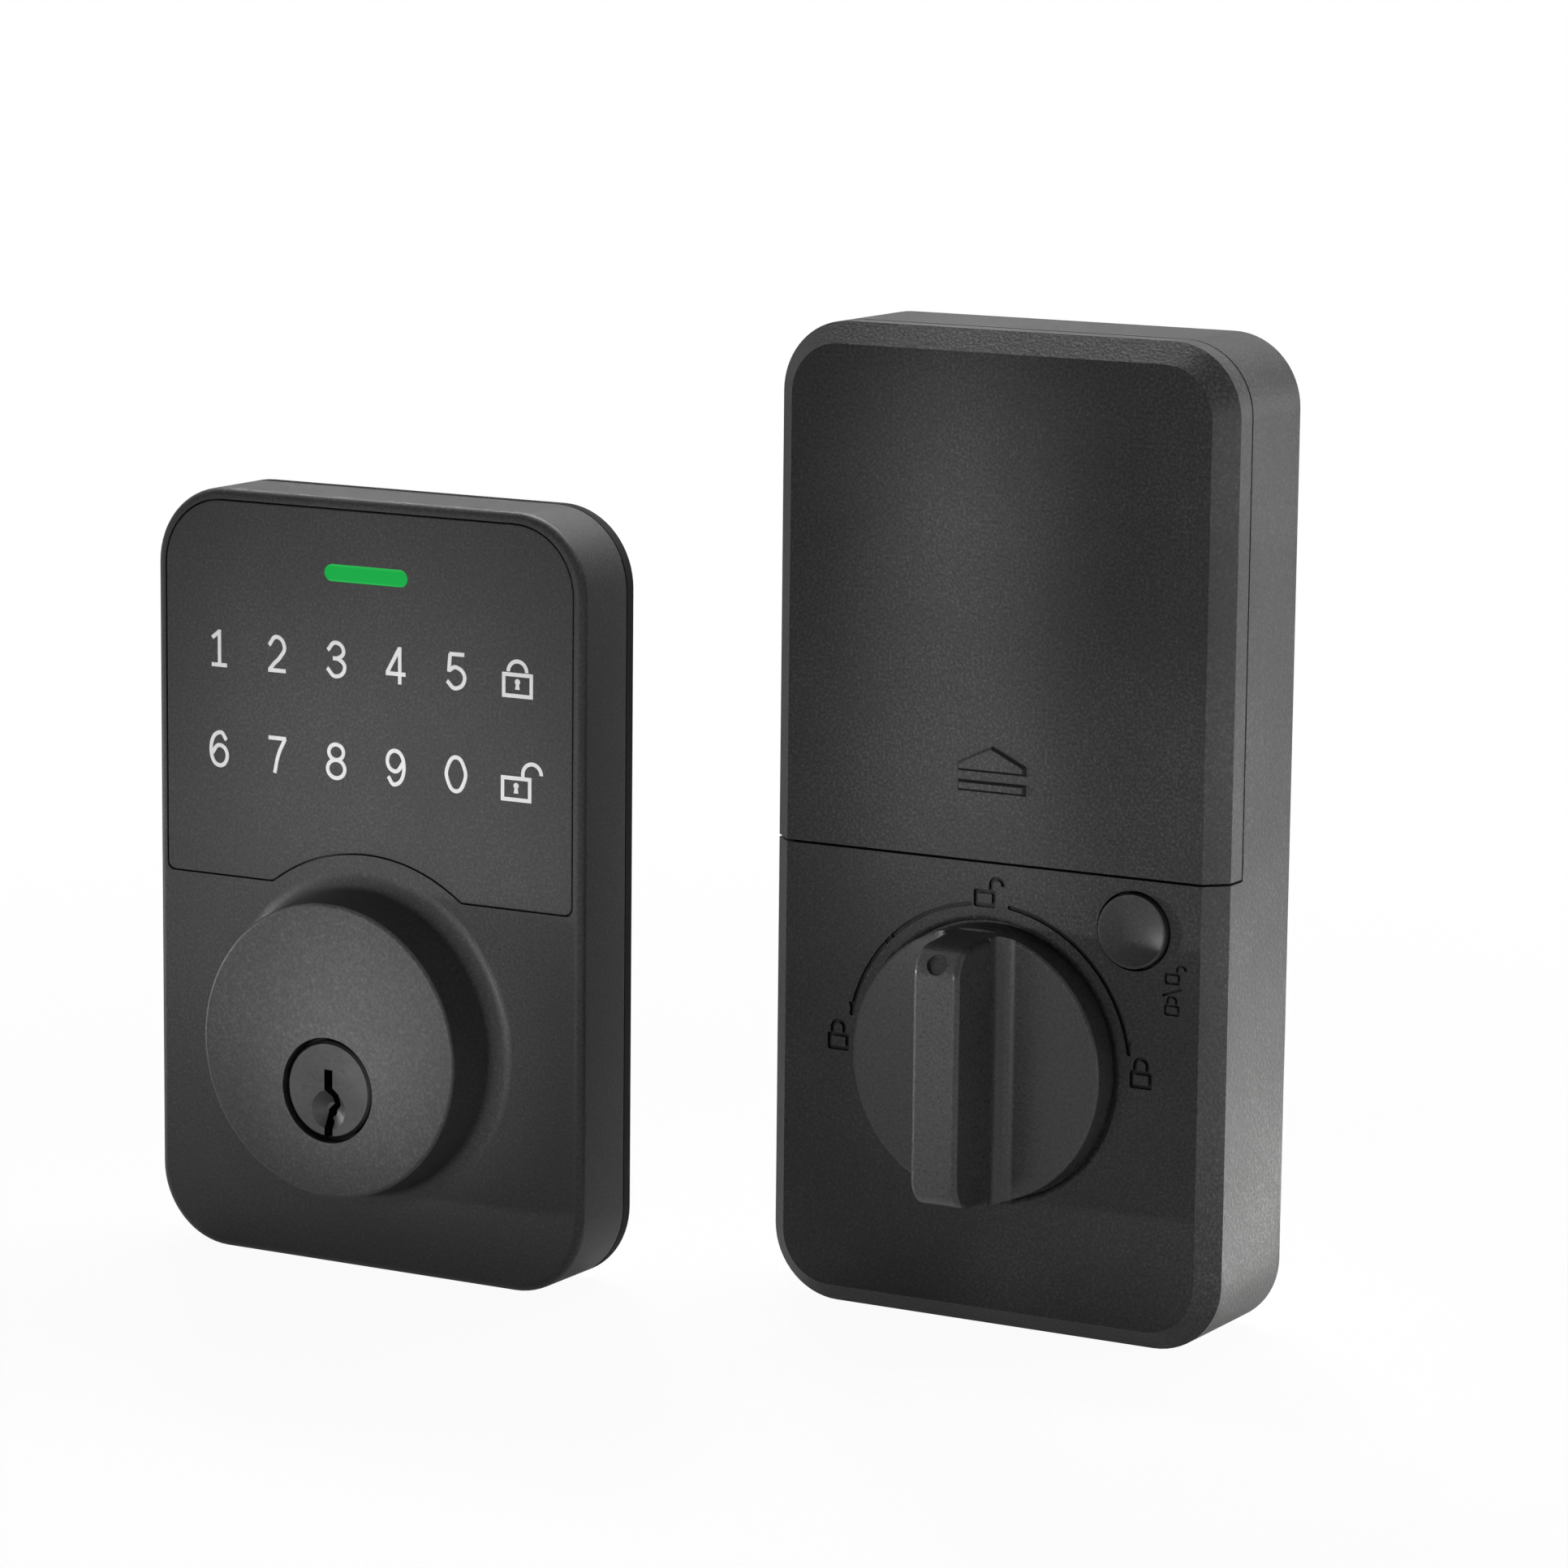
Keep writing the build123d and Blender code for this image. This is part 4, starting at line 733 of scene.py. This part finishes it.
digit_strokes = {  # points across from -1 to 1 and up from 0 to 1
    "0": [ring((0, 1), (-0.94, 0.68), (-0.94, 0.32), (0, 0), (0.94, 0.32), (0.94, 0.68))],
    "1": [straight((-0.72, 0.8), (0.1, 1)),
          straight((0.1, 1.05), (0.1, 0)),
          straight((-0.8, 0), (0.95, 0))],
    "2": [curve((-0.9, 0.74), (-0.03, 1), (0.85, 0.73), (0.35, 0.4), (-0.35, 0.19), (-0.86, 0)),
          straight((-1, 0), (1, 0))],
    "3": [curve((-0.93, 0.76), (-0.03, 1), (0.86, 0.76), (0.3, 0.55), (-0.35, 0.53)),
          curve((-0.35, 0.53), (0.35, 0.51), (0.98, 0.27), (0, 0), (-1, 0.23))],
    "4": [straight((0.45, -0.05), (0.45, 1.05)),
          straight((0.4, 1), (-0.95, 0.27)),
          straight((-1.1, 0.25), (1.1, 0.25))],
    "5": [straight((-0.75, 1), (0.9, 1)),
          straight((-0.65, 1), (-0.8, 0.47)),
          curve((-0.8, 0.51), (0, 0.62), (0.94, 0.32), (-0.05, 0), (-1, 0.2))],
    "6": [curve((0.85, 0.78), (0.12, 1), (-0.92, 0.46), (0.03, 0),
                (0.93, 0.31), (0.08, 0.61), (-0.86, 0.33))],
    "7": [straight((-1, 1), (1, 1)),
          curve((0.9, 1), (0.12, 0.5), (-0.3, -0.05))],
    "8": [ring((0, 1), (-0.82, 0.77), (0, 0.54), (0.82, 0.77)),
          ring((0, 0.54), (-0.96, 0.27), (0, 0), (0.96, 0.27))],
}
digit_strokes["9"] = [curve(*((-x, 1 - z) for x, z in points))
                      for *_, points in digit_strokes["6"]]
print("strokes for", len(digit_strokes), "digits")

# %% Draw a digit
DIGIT_PEN = 0.6 * MM
DIGIT_HEIGHT, DIGIT_WIDTH = 5.3 * MM, 3.55 * MM


def draw_digit(digit):
    """A digit as a curve as thick as the pen, centred and lying on its back."""
    drawing = bpy.data.curves.new("digit_" + digit, "CURVE")
    drawing.dimensions = "3D"
    drawing.twist_mode = "Z_UP"
    drawing.bevel_depth = DIGIT_PEN / 2
    drawing.bevel_resolution = 2
    drawing.use_fill_caps = True
    drawing.resolution_u = 10
    for bend, closed, points in digit_strokes[digit]:
        spline = drawing.splines.new("BEZIER")
        spline.bezier_points.add(len(points) - 1)
        spline.use_cyclic_u = closed
        for knot, (across, rise) in zip(spline.bezier_points, points):
            x = across * (DIGIT_WIDTH - DIGIT_PEN) / 2
            y = (rise - 0.5) * (DIGIT_HEIGHT - DIGIT_PEN)
            knot.co = (x, y, 0)
            knot.handle_left_type = bend
            knot.handle_right_type = bend
    return drawing


print("digits", round(DIGIT_HEIGHT / MM, 2), "by", round(DIGIT_WIDTH / MM, 2), "mm")

# %% Print the digits
INK_RISE = 0.02 * MM
COLUMN_PITCH = 9.833 * MM
FIRST_COLUMN = -2.5
ROW_HEIGHTS = (85.6 * MM, 71.4 * MM)

panel_low, panel_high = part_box("keypad_panel")
panel_x = (panel_low.x + panel_high.x) / 2
panel_front = panel_low.y


def print_digit(digit, x, z):
    """One digit, centred on x and z, pressed flat on the panel."""
    holder = add_object("digit_" + digit + "_drawing", draw_digit(digit))
    bpy.context.view_layer.update()
    drawn = holder.evaluated_get(bpy.context.evaluated_depsgraph_get())
    mesh = bpy.data.meshes.new_from_object(drawn)
    bpy.data.objects.remove(holder)
    mesh.transform(Matrix.Diagonal((1, 1, INK_RISE / (DIGIT_PEN / 2), 1)))
    mesh.transform(Matrix.Rotation(QUARTER_TURN, 4, "X"))
    mesh.transform(Matrix.Translation((x, panel_front, z)))
    lay_ink("digit_" + digit, mesh)


for row, digits in zip(ROW_HEIGHTS, ("12345", "67890")):
    for column, digit in enumerate(digits):
        print_digit(digit, panel_x + (column + FIRST_COLUMN) * COLUMN_PITCH, row)
print("ten digits on the panel at", round(panel_front / MM, 2), "mm")

# %% [markdown]
# The padlocks are plain signs of straight and round strokes. They could be curves as well, but
# their corners are square, which faces give at once. A body is one face inset to a frame, a
# shackle is a short edge spun round its centre, and the keyhole is a disc over a small wedge. All
# lie flat first, and one extrusion at the end gives them the thickness of the ink.

# %% Padlock strokes
SIGN_PEN = 0.55 * MM
SHACKLE_RADIUS = 1.75 * MM
HOLE_RADIUS, HOLE_DROP = 0.42 * MM, 1.05 * MM
ROUND_STEPS = 20


def bar(flat, left, right, low, high):
    """A straight stroke as one face."""
    corners = ((left, low), (right, low), (right, high), (left, high))
    return flat.faces.new([flat.verts.new((x, 0, z)) for x, z in corners])


def body_frame(flat, left, right, low, high):
    """A rectangular frame: one face, inset, with its middle taken out."""
    face = bar(flat, left, right, low, high)
    face.normal_update()
    bmesh.ops.inset_region(flat, faces=[face], thickness=SIGN_PEN,
                           use_boundary=True, use_even_offset=True)
    bmesh.ops.delete(flat, geom=[face], context="FACES")


def shackle_arc(flat, x, z):
    """Half a ring: an edge across the stroke, spun round the ring's middle."""
    middle = Vector((x, 0, z))
    reaches = (SHACKLE_RADIUS - SIGN_PEN, SHACKLE_RADIUS)
    ends = [flat.verts.new(middle + Vector((reach, 0, 0))) for reach in reaches]
    edge = flat.edges.new(ends)
    bmesh.ops.spin(flat, geom=[*ends, edge], cent=middle, axis=(0, -1, 0),
                   angle=math.pi, steps=ROUND_STEPS)


def keyhole(flat, x, z):
    """A disc over a wedge."""
    lying = Matrix.Translation((x, 0, z)) @ Matrix.Rotation(QUARTER_TURN, 4, "X")
    bmesh.ops.create_circle(flat, cap_ends=True, segments=ROUND_STEPS, radius=HOLE_RADIUS,
                            matrix=lying)
    neck, foot = 0.45 * HOLE_RADIUS, 0.9 * HOLE_RADIUS
    wedge = ((x - neck, z), (x - foot, z - HOLE_DROP), (x + foot, z - HOLE_DROP), (x + neck, z))
    flat.faces.new([flat.verts.new((a, 0, b)) for a, b in wedge])


print("tools for padlocks")

# %% Padlocks
def raise_ink(name, flat):
    """Thickens a flat drawing by the ink and lays it on the panel."""
    bmesh.ops.recalc_face_normals(flat, faces=flat.faces)
    raised = bmesh.ops.extrude_face_region(flat, geom=flat.faces[:])["geom"]
    tops = [v for v in raised if isinstance(v, bmesh.types.BMVert)]
    bmesh.ops.translate(flat, verts=tops, vec=(0, -2 * INK_RISE, 0))
    bmesh.ops.translate(flat, verts=flat.verts, vec=(panel_x, panel_front + INK_RISE, 0))
    bmesh.ops.recalc_face_normals(flat, faces=flat.faces)
    mesh = bpy.data.meshes.new(name)
    flat.to_mesh(mesh)
    flat.free()
    lay_ink(name, mesh)


def padlock(name, body, shackle, hole, leg=None):
    """A padlock with the edges of its body and leg, and the middles of its shackle and keyhole."""
    flat = bmesh.new()
    body_frame(flat, *(edge * MM for edge in body))
    shackle_arc(flat, *(middle * MM for middle in shackle))
    if leg:
        bar(flat, *(edge * MM for edge in leg))
    keyhole(flat, *(middle * MM for middle in hole))
    raise_ink(name, flat)


# Places in millimetres, across from the middle of the panel and up from the floor.
padlock("padlock_closed", body=(22.15, 27.1, 82.75, 86.2), shackle=(24.62, 86.3),
        hole=(24.62, 84.95))
padlock("padlock_open", body=(22.0, 26.9, 68.5, 72.0), shackle=(27.0, 72.4),
        hole=(24.45, 70.7), leg=(25.25, 25.8, 71.9, 72.4))
print("two padlocks")
